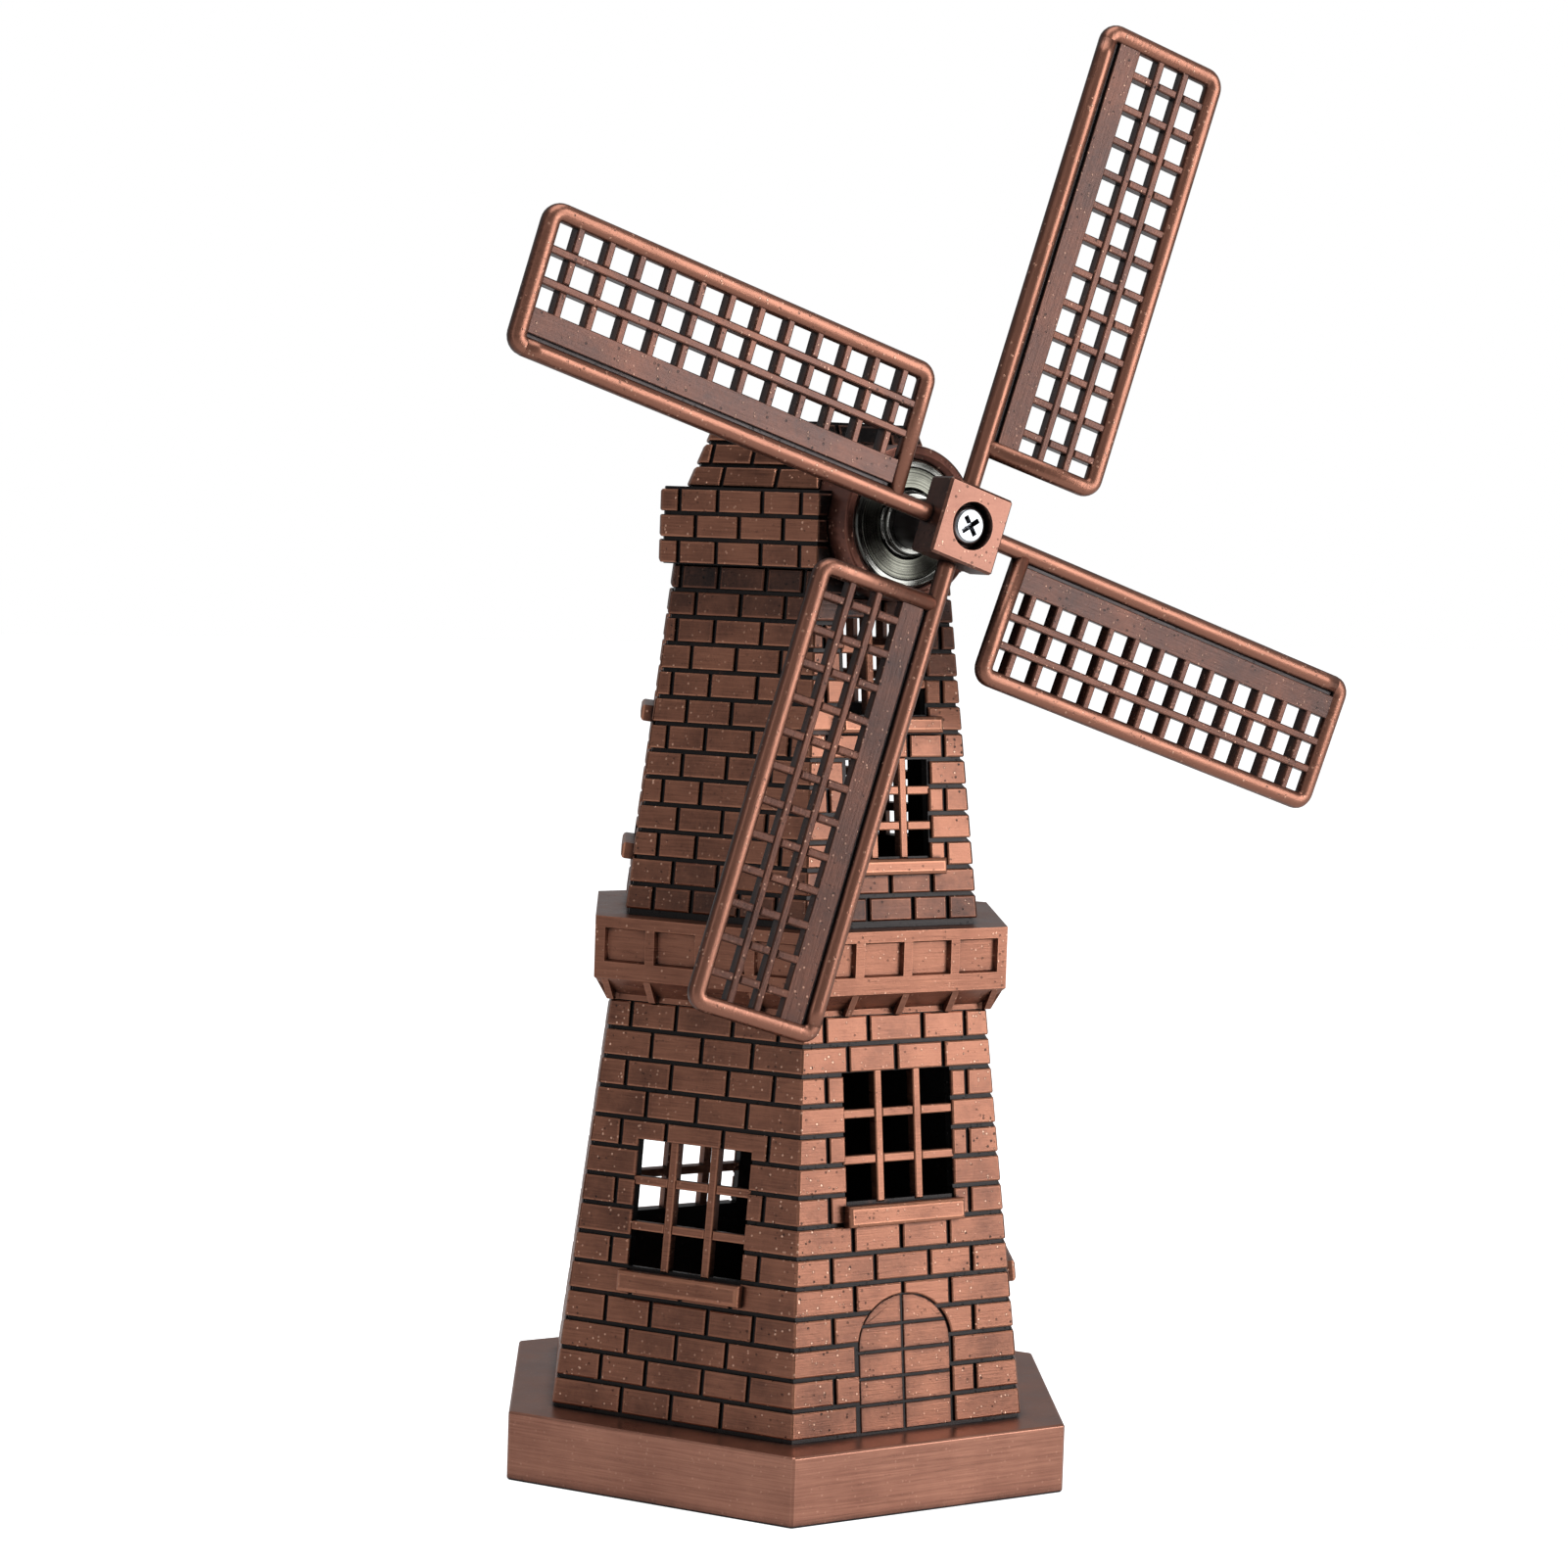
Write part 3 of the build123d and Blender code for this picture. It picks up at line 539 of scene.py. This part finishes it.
def wall_core(casting, side, wall, windows, notch=None):
    """The plate behind the bricks, built of merged blocks around the openings, mitred at its ends."""
    cuts = sorted({side.foot_z, side.head_z, *[z for w in windows for z in (w.low, w.high)]})
    if notch:
        cuts += levels(notch.low, side.head_z, 6)
        cuts = sorted(set(cuts))
    for low, high in zip(cuts, cuts[1:]):
        spans = [(None, None)]
        for hole in list(windows) + ([notch] if notch else []):
            if hole.low - 1e-6 <= low and high <= hole.high + 1e-6:
                spans = [(None, hole), (hole, None)]
        for left_hole, right_hole in spans:
            corners = []
            for z in (low, high):
                for depth in (-wall, -RELIEF):
                    mitre = side.half_width(z) + depth * tan(radians(30))
                    left = -mitre if left_hole is None else left_hole.half_width(z)
                    right = mitre if right_hole is None else -right_hole.half_width(z)
                    corners.append(casting.corner(side, left, z, depth, 0.0))
                    corners.append(casting.corner(side, right, z, depth, 0.0))
            a, b, c, d, e, f, g, h = corners
            ends_and_sides = ((a, b, d, c), (e, g, h, f), (a, c, g, e), (b, f, h, d))
            back_and_front = ((c, d, h, g), (a, e, f, b))
            for loop in ends_and_sides + back_and_front:
                casting.face(loop)
    bmesh.ops.remove_doubles(casting.mesh, verts=casting.mesh.verts, dist=0.000001)
    casting.mesh.verts.index_update()
    seen = {}
    for face in casting.mesh.faces:
        seen.setdefault(frozenset(vertex.index for vertex in face.verts), []).append(face)
    double = [face for faces in seen.values() if len(faces) > 1 for face in faces]
    bmesh.ops.delete(casting.mesh, geom=double, context="FACES_ONLY")


# Windows: three panes by three, the cast glazing bars set back a little from the bricks and
# rubbed bright, over a thick sill with rounded edges.
BAR_BACK, UPRIGHT_FRONT, CROSSBAR_FRONT = -1.9, -0.30, -0.38


def glaze(casting, side, low, high, half, bar=1.3, panes=3):
    pane_wide = (2 * half - (panes - 1) * bar) / panes
    pane_high = (high - low - (panes - 1) * bar) / panes
    lefts = [-half + pane_wide + k * (pane_wide + bar) for k in range(panes - 1)]
    for left in lefts:
        outline = [(left, low - 0.3), (left + bar, low - 0.3), (left + bar, high + 0.3), (left, high + 0.3)]
        casting.block(side, outline, BAR_BACK, UPRIGHT_FRONT, edge=0.22, shine=0.8, dark=0.5)
    starts = [-half - 0.3] + [left + bar for left in lefts]
    ends = lefts + [half + 0.3]
    for k in range(panes - 1):
        foot = low + pane_high + k * (pane_high + bar)
        for start, end in zip(starts, ends):
            outline = [(start, foot), (end, foot), (end, foot + bar), (start, foot + bar)]
            casting.block(side, outline, BAR_BACK, CROSSBAR_FRONT, edge=0.22, shine=0.8, dark=0.5)


def add_sill(casting, side, head, half, high, deep=1.75):
    outline = [(-half, head - high), (half, head - high), (half, head), (-half, head)]
    casting.block(side, outline, -RELIEF - ROOT, deep, edge=0.5, shine=0.8, dark=0.1, fade=0.8)


# Lower storey: six plates mitred and soldered at the corners. The front one has the door and a
# high window; its two neighbours and the back have a lower window; the other two are plain.
brick_copper = copper_material(
    "brick_copper", (0.41, 0.178, 0.108), (0.125, 0.047, 0.029), (170, 170, 4600), rub_and_painted_light="rub_and_painted_light",
    brushing=0.4, pits=1.0, bump=0.6, crevice=0.0009, patina=(0.010, 0.008, 0.008), pitted_beyond=0.005,
)
SIDES = ("front", "front_right", "back_right", "back", "back_left", "front_left")
LOWER_JOINTS = ((-8.6, -0.2, 8.2), (-12.5, -4.9, 4.6, 12.2))
UPPER_JOINTS = ((-10.6, -4.2, 3.7, 9.9), (-7.7, -0.2, 7.2))
BASE_TOP, LOWER_TOP, BALCONY_TOP, UPPER_TOP = 10.3, 70.9, 83.4, 135.5
WALL = 2.0
lower_sills = {"front": 43.6, "front_left": 31.8, "front_right": 31.8, "back": 31.8}
DOOR_HALF, DOOR_SPRING, DOOR_HEAD = 8.2, 23.0, 30.3
BOARDS_BACK, BOARDS_FRONT = -1.3, -0.42
LOWER_PANES_HALF, LOWER_PANES_HIGH, LOWER_SILL_HALF, LOWER_SILL_HIGH = 9.5, 18.6, 10.15, 3.15
LOWER_FIRST_BED, LOWER_COURSE, LOWER_COURSES = 10.64, 4.319, 14


def door_half_width(z):
    if z <= DOOR_SPRING:
        return DOOR_HALF
    rise = min((z - DOOR_SPRING) / (DOOR_HEAD - DOOR_SPRING), 1.0)
    return DOOR_HALF * sqrt(1 - rise ** 2)


def hang_door(casting, side):
    """Ten boards in two columns, set back inside the arch."""
    beds = [BASE_TOP + 0.25, 14.6, 18.4, 22.2, 26.0, DOOR_HEAD]
    gap = 0.2
    for low, high in zip(beds, beds[1:]):
        low, high = low + gap, high - gap
        rows = levels(low, high, 5)
        right = [(max(door_half_width(z) - 0.25, 0.6), z) for z in rows]
        outline = [(-0.1, low), *right, (-0.1, high)]
        casting.block(side, clean(outline), BOARDS_BACK, BOARDS_FRONT, edge=0.14, shine=0.66,
                      rim=0.55, fade=0.7)
        mirrored = [(-u - 0.6 if u < 0 else -u, z) for u, z in outline][::-1]
        casting.block(side, clean(mirrored), BOARDS_BACK, BOARDS_FRONT, edge=0.14, shine=0.66,
                      rim=0.55, fade=0.7)


def clean(outline):
    kept = []
    for spot in outline:
        if not kept or hypot(spot[0] - kept[-1][0], spot[1] - kept[-1][1]) > 0.05:
            kept.append(spot)
    return kept


for number, side_name in enumerate(SIDES):
    side = Side(number, 40.35, 32.28, BASE_TOP, LOWER_TOP)
    casting = Casting()
    holes, panes = [], []
    if side_name in lower_sills:
        sill_top = lower_sills[side_name]
        pane_low = sill_top + 0.5
        panes.append(Hole(pane_low, pane_low + LOWER_PANES_HIGH, lambda z: LOWER_PANES_HALF))
        holes.append(Hole(sill_top - 1.0, pane_low + LOWER_PANES_HIGH, lambda z: LOWER_PANES_HALF))
    if side_name == "front":
        holes.append(Hole(BASE_TOP, DOOR_HEAD, door_half_width))
    wall_core(casting, side, WALL, panes)
    if panes:
        glaze(casting, side, panes[0].low, panes[0].high, LOWER_PANES_HALF)
        add_sill(casting, side, lower_sills[side_name], LOWER_SILL_HALF, LOWER_SILL_HIGH)
    if side_name == "front":
        hang_door(casting, side)
    lay_bricks(casting, side, LOWER_FIRST_BED, LOWER_COURSE, LOWER_COURSES, LOWER_JOINTS, holes)
    name = f"lower_wall_{side_name}"
    casting.finish(f"{name}_bricks", brick_copper, "tower", name)


# Balcony: one copper-plated casting with four sunk panels to a side, a sloped underside and thin
# ribs below. It sits on the lower walls and carries the upper ones.
moulding_copper = copper_material(
    "moulding_copper", (0.34, 0.145, 0.089), (0.15, 0.057, 0.035), (150, 150, 4200),
    brushing=0.45, pits=0.5, bump=0.5, crevice=0.0020,
)
dress("balcony", moulding_copper)


# Upper storey: six more plates. Three of them, front included, have two windows one above the
# other, and the front plate is notched at its head round the bearing housing.
rotor_axis_z, housing_radius = 142.5, 11.4
UPPER_PANES_HALF, UPPER_PANES_TOP, UPPER_SILL_HALF, UPPER_SILL_HIGH = 7.15, 14.5, 8.9, 2.4
UPPER_FIRST_BED, UPPER_COURSE, UPPER_COURSES = 84.08, 3.968, 13


def housing_half_width(z):
    rise = abs(rotor_axis_z - z)
    return sqrt(max(housing_radius ** 2 - rise ** 2, 0.0)) + 0.01


for number, side_name in enumerate(SIDES):
    side = Side(number, 30.35, 23.6, BALCONY_TOP, UPPER_TOP)
    casting = Casting()
    holes, panes = [], []
    if side_name in ("front", "back_right", "back_left"):
        for sill_top in (93.4, 114.1):
            panes.append(Hole(sill_top + 0.3, sill_top + UPPER_PANES_TOP, lambda z: UPPER_PANES_HALF))
            holes.append(Hole(sill_top - 0.8, sill_top + UPPER_PANES_TOP, lambda z: UPPER_PANES_HALF))
    notch = None
    if side_name == "front":
        notch = Hole(rotor_axis_z - housing_radius, UPPER_TOP, housing_half_width)
        holes.append(notch)
    wall_core(casting, side, WALL, panes, notch)
    for opening in panes:
        glaze(casting, side, opening.low, opening.high, UPPER_PANES_HALF)
        add_sill(casting, side, opening.low - 0.3, UPPER_SILL_HALF, UPPER_SILL_HIGH)
    # Darker courses at the foot and head of each side; on the front the courses near the rotor are darker
    # still, as painted shade of the sails and hub.
    darkened_courses = ((0, 0.40), (1, 0.56), (10, 0.58), (11, 0.48), (12, 0.30))
    if side_name == "front":
        darkened_courses = ((0, 0.34), (1, 0.46), (9, 0.45), (10, 0.3), (11, 0.2), (12, 0.15))
    lay_bricks(casting, side, UPPER_FIRST_BED, UPPER_COURSE, UPPER_COURSES, UPPER_JOINTS, holes, darkened_courses)
    name = f"upper_wall_{side_name}"
    casting.finish(f"{name}_bricks", brick_copper, "tower", name)


# Crown and roof: two solid blocks with bricks on every side, hollowed at the front to seat the
# bearing housing, which they clamp between them.
CROWN_TOP, ROOF_TOP = 146.9, 157.0
CROWN_JOINTS = ((-10.1, -3.7, 3.7, 10.1), (-7.3, 0, 7.3))
ROOF_JOINTS = ((-5.4, 3.6), (-8.0, -1.1, 6.1))


def solid_core(casting, foot_radius, head_radius, foot_z, head_z):
    """A hexagonal block at the depth of the joints, with the housing's seat cut out of it."""
    shape = bmesh.new()
    rings = []
    shrink = RELIEF / cos(radians(30))
    for radius, z in ((foot_radius - shrink, foot_z), (head_radius - shrink, head_z)):
        corners = [(radius * cos(radians(60 * k)), radius * sin(radians(60 * k)), z) for k in range(6)]
        rings.append([shape.verts.new(Vector(corner) * MM) for corner in corners])
    low, high = rings
    for k in range(6):
        shape.faces.new((low[k], low[(k + 1) % 6], high[(k + 1) % 6], high[k]))
    shape.faces.new(high)
    shape.faces.new(low[::-1])
    block_mesh = bpy.data.meshes.new("core_block")
    shape.to_mesh(block_mesh)
    shape.free()
    block = bpy.data.objects.new("core_block", block_mesh)
    cutter_shape = bmesh.new()
    seat_length = 40.0
    middle = Vector((0, -14.0 - seat_length / 2, rotor_axis_z)) * MM
    lay_down = Matrix.Translation(middle) @ Matrix.Rotation(pi / 2, 4, "X")
    bmesh.ops.create_cone(cutter_shape, cap_ends=True, segments=64, radius1=housing_radius * MM,
                          radius2=housing_radius * MM, depth=seat_length * MM, matrix=lay_down)
    cutter_mesh = bpy.data.meshes.new("core_cutter")
    cutter_shape.to_mesh(cutter_mesh)
    cutter_shape.free()
    cutter = bpy.data.objects.new("core_cutter", cutter_mesh)
    for thing in (block, cutter):
        bpy.context.scene.collection.objects.link(thing)
    cut = block.modifiers.new("seat", "BOOLEAN")
    cut.operation = "DIFFERENCE"
    cut.solver = "EXACT"
    cut.object = cutter
    bpy.context.view_layer.update()
    done = block.evaluated_get(bpy.context.evaluated_depsgraph_get()).to_mesh()
    casting.mesh.from_mesh(done)
    for thing in (block, cutter):
        bpy.data.objects.remove(thing)


def round_housing(z):
    return housing_half_width(z) if abs(z - rotor_axis_z) < housing_radius else 0.0


housing_hole = Hole(rotor_axis_z - housing_radius, rotor_axis_z + housing_radius, round_housing)
tiers = (
    ("crown", 26.2, 26.2, UPPER_TOP, CROWN_TOP, CROWN_JOINTS),
    ("roof_cap", 21.75, 17.1, CROWN_TOP, ROOF_TOP, ROOF_JOINTS),
)
for name, foot_radius, head_radius, foot_z, head_z, joints in tiers:
    casting = Casting()
    solid_core(casting, foot_radius, head_radius, foot_z, head_z)
    course = (head_z - foot_z) / 3
    for number in range(6):
        side = Side(number, foot_radius, head_radius, foot_z, head_z)
        holes = [housing_hole] if number == 0 else []
        start = foot_z - MORTAR / 2 + 0.15 if name == "crown" else foot_z
        # The rotor-facing side is painted dark: painted shade of the sails and hub.
        darkened_courses = [(row, 0.16) for row in range(3)] if number == 0 else []
        lay_bricks(casting, side, start, course, 3, joints, holes, darkened_courses)
    casting.finish(f"{name}_bricks", brick_copper, "tower", name)


# Bearing housing: a turned copper-plated tube in dark colours, its rim brightened partly as rubbed wear and
# partly as painted highlight.
# Crown and roof clamp it, and the bearing is pressed in from the front.
housing_copper = copper_material(
    "housing_copper", (0.24, 0.09, 0.06), (0.07, 0.026, 0.021), (300, 30, 300), brushing=0.5, pits=0.6,
    bump=0.4, crevice=0.003,
)
dress("bearing_housing", housing_copper)


# Ball bearing: ground steel rings and pressed shields, polished, with faint turning marks round
# the axis and a grey film of oil on the flats.
def steel_material(name, colour, dark, roughness, turned=900.0, metallic=1.0, centre=(0, 0, 0.1425)):
    made = bpy.data.materials.new(name)
    made.use_nodes = True
    tree = made.node_tree
    shader = tree.nodes["Principled BSDF"]
    place = add_node(tree, "ShaderNodeTexCoord").outputs["Object"]
    shifted = add_node(tree, "ShaderNodeVectorMath", operation="SUBTRACT")
    shifted.inputs[1].default_value = centre
    tree.links.new(place, shifted.inputs[0])
    flattened = add_node(tree, "ShaderNodeVectorMath", operation="MULTIPLY")
    flattened.inputs[1].default_value = (1, 0, 1)
    tree.links.new(shifted.outputs[0], flattened.inputs[0])
    reach = add_node(tree, "ShaderNodeVectorMath", operation="LENGTH")
    tree.links.new(flattened.outputs[0], reach.inputs[0])
    rings = add_node(tree, "ShaderNodeTexNoise", noise_dimensions="1D", inputs={"Detail": 3.0})
    spread = math_node(tree, "MULTIPLY", reach.outputs["Value"], turned)
    tree.links.new(spread, rings.inputs["W"])
    film = add_node(tree, "ShaderNodeTexNoise", inputs={"Scale": 260.0, "Detail": 4.0})
    tree.links.new(place, film.inputs["Vector"])
    marks = math_node(tree, "MULTIPLY", rings.outputs["Fac"], film.outputs["Fac"])
    marks = remap(tree, marks, 0.15, 0.38)
    tree.links.new(mix_colour(tree, marks, (*dark, 1), (*colour, 1)), shader.inputs["Base Color"])
    tree.links.new(remap(tree, film.outputs["Fac"], 0.3, 0.7, roughness, roughness + 0.08),
                   shader.inputs["Roughness"])
    ripple = add_node(tree, "ShaderNodeBump", inputs={"Strength": 0.06, "Distance": 0.00004})
    tree.links.new(rings.outputs["Fac"], ripple.inputs["Height"])
    tree.links.new(ripple.outputs["Normal"], shader.inputs["Normal"])
    shader.inputs["Metallic"].default_value = metallic
    return made


bearing_steel = steel_material("bearing_steel", (0.34, 0.34, 0.32), (0.10, 0.10, 0.09), 0.16)
shield_steel = steel_material("shield_steel", (0.16, 0.16, 0.135), (0.05, 0.05, 0.042), 0.2)
for name in ("bearing_outer_ring", "bearing_inner_ring", "bearing_balls", "spacer_washer"):
    dress(name, bearing_steel)
for name in ("bearing_shield_front", "bearing_shield_back", "bearing_cage"):
    dress(name, shield_steel)


# Axle and its clip: turned steel, blackened, carried through the bearing and out to the hub. The
# clip snaps into a groove behind the bearing.
black_steel = steel_material("black_steel", (0.075, 0.06, 0.058), (0.025, 0.02, 0.02), 0.3, metallic=0.8)
dress("axle", black_steel)
dress("axle_clip", black_steel)


# Hub: a square copper-plated block, brushed bright on its front, with painted shade darkening its sides,
# drilled for the four spars and held on the axle by one screw.
hub_copper = copper_material(
    "hub_copper", (0.27, 0.125, 0.088), (0.14, 0.06, 0.042), (300, 30, 1100),
    brushing=0.6, pits=0.5, bump=0.4, crevice=0.0012, painted_side_shade=True,
)
dress("hub", hub_copper)


# Hub screw: zinc-plated steel, bright, with a cross recess, sunk in the hub and driven into the
# axle's end.
screw_zinc = steel_material("screw_zinc", (0.52, 0.53, 0.55), (0.2, 0.21, 0.22), 0.14, turned=500.0)
dress("hub_screw", screw_zinc)


# Sails: each is one casting. A round spar runs along one side; a rounded rim closes the other
# three; beside the spar lies a flat board, and the rest is a lattice three cells wide.
sail_copper = copper_material(
    "sail_copper", (0.265, 0.113, 0.074), (0.10, 0.04, 0.027), (140, 2600, 1500), rub_and_painted_light="rub_and_painted_light",
    brushing=0.5, pits=0.45, bump=0.5, crevice=0.0009, brush_from="grain", patina=(0.034, 0.028, 0.028),
)
SPAR_Y, SPAR_RADIUS, SPAR_START = -39.3, 1.35, 4.25
SAIL_ROOT, SAIL_TIP, SAIL_WIDTH = 10.75, 77.0, 19.95
RIM, RIM_DEPTH, SAIL_CORNER = 2.6, 2.5, 2.9
BOARD_EDGE, LATTICE_SETBACK, LATTICE_BAR = 5.4, 0.6, 1.15
CELLS_ALONG, CELLS_ACROSS, END_CELL = 13, 3, 0.72
CROSSBAR_SHIFT = 0.3
sail_set = {
    "sail_upper": (18.2, 7.0), "sail_right": (107.6, -4.5),
    "sail_lower": (197.3, -6.5), "sail_left": (287.1, -0.6),
}


class SailPlane:
    """A sail's own plane: x along the spar, y across towards the lattice, depth forwards."""

    def __init__(self, angle, twist):
        self.along = Vector((sin(radians(angle)), 0, cos(radians(angle))))
        flat = Vector((cos(radians(angle)), 0, -sin(radians(angle))))
        forward = Vector((0, -1, 0))
        self.across = flat * cos(radians(twist)) + forward * sin(radians(twist))
        self.ahead = self.across.cross(self.along)
        self.centre = Vector((0, SPAR_Y, rotor_axis_z))

    def point(self, x, y, depth):
        return self.centre + self.along * x + self.across * y + self.ahead * depth


def add_tube(casting, plane, path, profile, shine):
    """Sweeps a closed profile of (sideways, forwards) points along a flat open path, both ends shut."""
    rings = []
    for k, (x, y) in enumerate(path):
        before, after = path[max(k - 1, 0)], path[min(k + 1, len(path) - 1)]
        heading = Vector((after[0] - before[0], after[1] - before[1])).normalized()
        sideways = Vector((-heading.y, heading.x))
        ring = []
        for aside, ahead in profile:
            rub_and_painted_light = shine(aside, ahead)
            along, over = x + sideways.x * aside, y + sideways.y * aside
            ring.append(casting.corner(plane, along, over, ahead, rub_and_painted_light))
        rings.append(ring)
    count = len(profile)
    for low, high in zip(rings, rings[1:]):
        for k in range(count):
            casting.face((low[k], low[(k + 1) % count], high[(k + 1) % count], high[k])).smooth = True
    casting.face(rings[0][::-1])
    casting.face(rings[-1])


def rounded_profile(half_wide, half_deep, corner, steps=4):
    spots = []
    for quarter, (side_way, fore) in enumerate(((1, 1), (-1, 1), (-1, -1), (1, -1))):
        for k in range(steps + 1):
            angle = pi / 2 * (quarter + k / steps)
            spots.append((side_way * (half_wide - corner) + corner * cos(angle),
                          fore * (half_deep - corner) + corner * sin(angle)))
    return spots


def rim_path():
    """From the spar at the root round both outer corners and back to the spar at the tip."""
    inner, bend = RIM / 2, SAIL_CORNER - RIM / 2
    root, tip, far = SAIL_ROOT + inner, SAIL_TIP - inner, SAIL_WIDTH - inner
    path = [(root, 0.2), (root, far - bend)]
    for k in range(1, 9):
        angle = pi / 2 * k / 8
        path.append((root + bend - bend * cos(angle), far - bend + bend * sin(angle)))
    path.append((tip - bend, far))
    for k in range(1, 9):
        angle = pi / 2 * k / 8
        path.append((tip - bend + bend * sin(angle), far - bend + bend * cos(angle)))
    near = 1.4
    for k in range(7):
        angle = pi / 2 * k / 6
        path.append((tip - near + near * cos(angle), near - near * sin(angle)))
    path.append((tip - near - 4.0, 0.0))
    return path


# Painted highlight and shade: the forward-facing parts of the sail rim and spar are brightened and their
# flanks darkened.
def painted_facing_light(aside, ahead):
    return 0.28 + 0.72 * max(min((ahead + 0.2) / 1.2, 1.0), 0.0)


lattice_front = RIM_DEPTH / 2 - LATTICE_SETBACK
lattice_back = -RIM_DEPTH / 2
lattice_start = SAIL_ROOT + RIM
lattice_length = SAIL_TIP - SAIL_ROOT - 2 * RIM
cell_length = (lattice_length + LATTICE_BAR) / (CELLS_ALONG - 2 + 2 * END_CELL)
row_width = (SAIL_WIDTH - RIM - BOARD_EDGE + LATTICE_BAR) / CELLS_ACROSS
for sail_name, (angle, twist) in sail_set.items():
    plane = SailPlane(angle, twist)
    casting = Casting()
    rim_round = rounded_profile(RIM / 2, RIM_DEPTH / 2, 1.1)
    add_tube(casting, plane, rim_path(), rim_round, painted_facing_light)
    spar_round = [(SPAR_RADIUS * cos(pi * k / 14), SPAR_RADIUS * sin(pi * k / 14)) for k in range(28)]
    spar_stops = levels(SPAR_START, SAIL_TIP - RIM / 2 - 1.4, 30)
    add_tube(casting, plane, [(x, 0) for x in spar_stops], spar_round, painted_facing_light)
    groove = [(SAIL_ROOT + 1, 0.5), (SAIL_TIP - 1.6, 0.5), (SAIL_TIP - 1.6, 2.1), (SAIL_ROOT + 1, 2.1)]
    casting.block(plane, groove, lattice_back + 0.3, 0.1, edge=0.15, shine=0.1, dark=0.1, rim=0.15)
    board = [(SAIL_ROOT + 1, 1.8), (SAIL_TIP - 1, 1.8)]
    board += [(SAIL_TIP - 1, BOARD_EDGE), (SAIL_ROOT + 1, BOARD_EDGE)]
    casting.block(plane, board, lattice_back + 0.3, lattice_front, edge=0.15, shine=0.38, dark=0.2, rim=0.5)
    for row in range(1, CELLS_ACROSS):
        foot = BOARD_EDGE + row * row_width - LATTICE_BAR
        outline = [(lattice_start - 0.6, foot), (SAIL_TIP - RIM + 0.6, foot)]
        outline += [(SAIL_TIP - RIM + 0.6, foot + LATTICE_BAR), (lattice_start - 0.6, foot + LATTICE_BAR)]
        casting.block(plane, outline, lattice_back, lattice_front, edge=0.22, shine=0.5, dark=0.05,
                      rim=0.66)
    for bar in range(CELLS_ALONG - 1):
        start = lattice_start + cell_length * (END_CELL + bar) - LATTICE_BAR - CROSSBAR_SHIFT
        for row in range(CELLS_ACROSS):
            low = BOARD_EDGE + row * row_width - (0.3 if row == 0 else 0.0)
            into_rim = 0.5 if row == CELLS_ACROSS - 1 else 0
            high = BOARD_EDGE + (row + 1) * row_width - LATTICE_BAR + into_rim
            outline = [(start, low), (start + LATTICE_BAR, low), (start + LATTICE_BAR, high), (start, high)]
            casting.block(plane, outline, lattice_back, lattice_front + 0.02, edge=0.22, shine=0.5,
                          dark=0.05, rim=0.66)
    casting.finish(f"{sail_name}_casting", sail_copper, "rotor", sail_name)
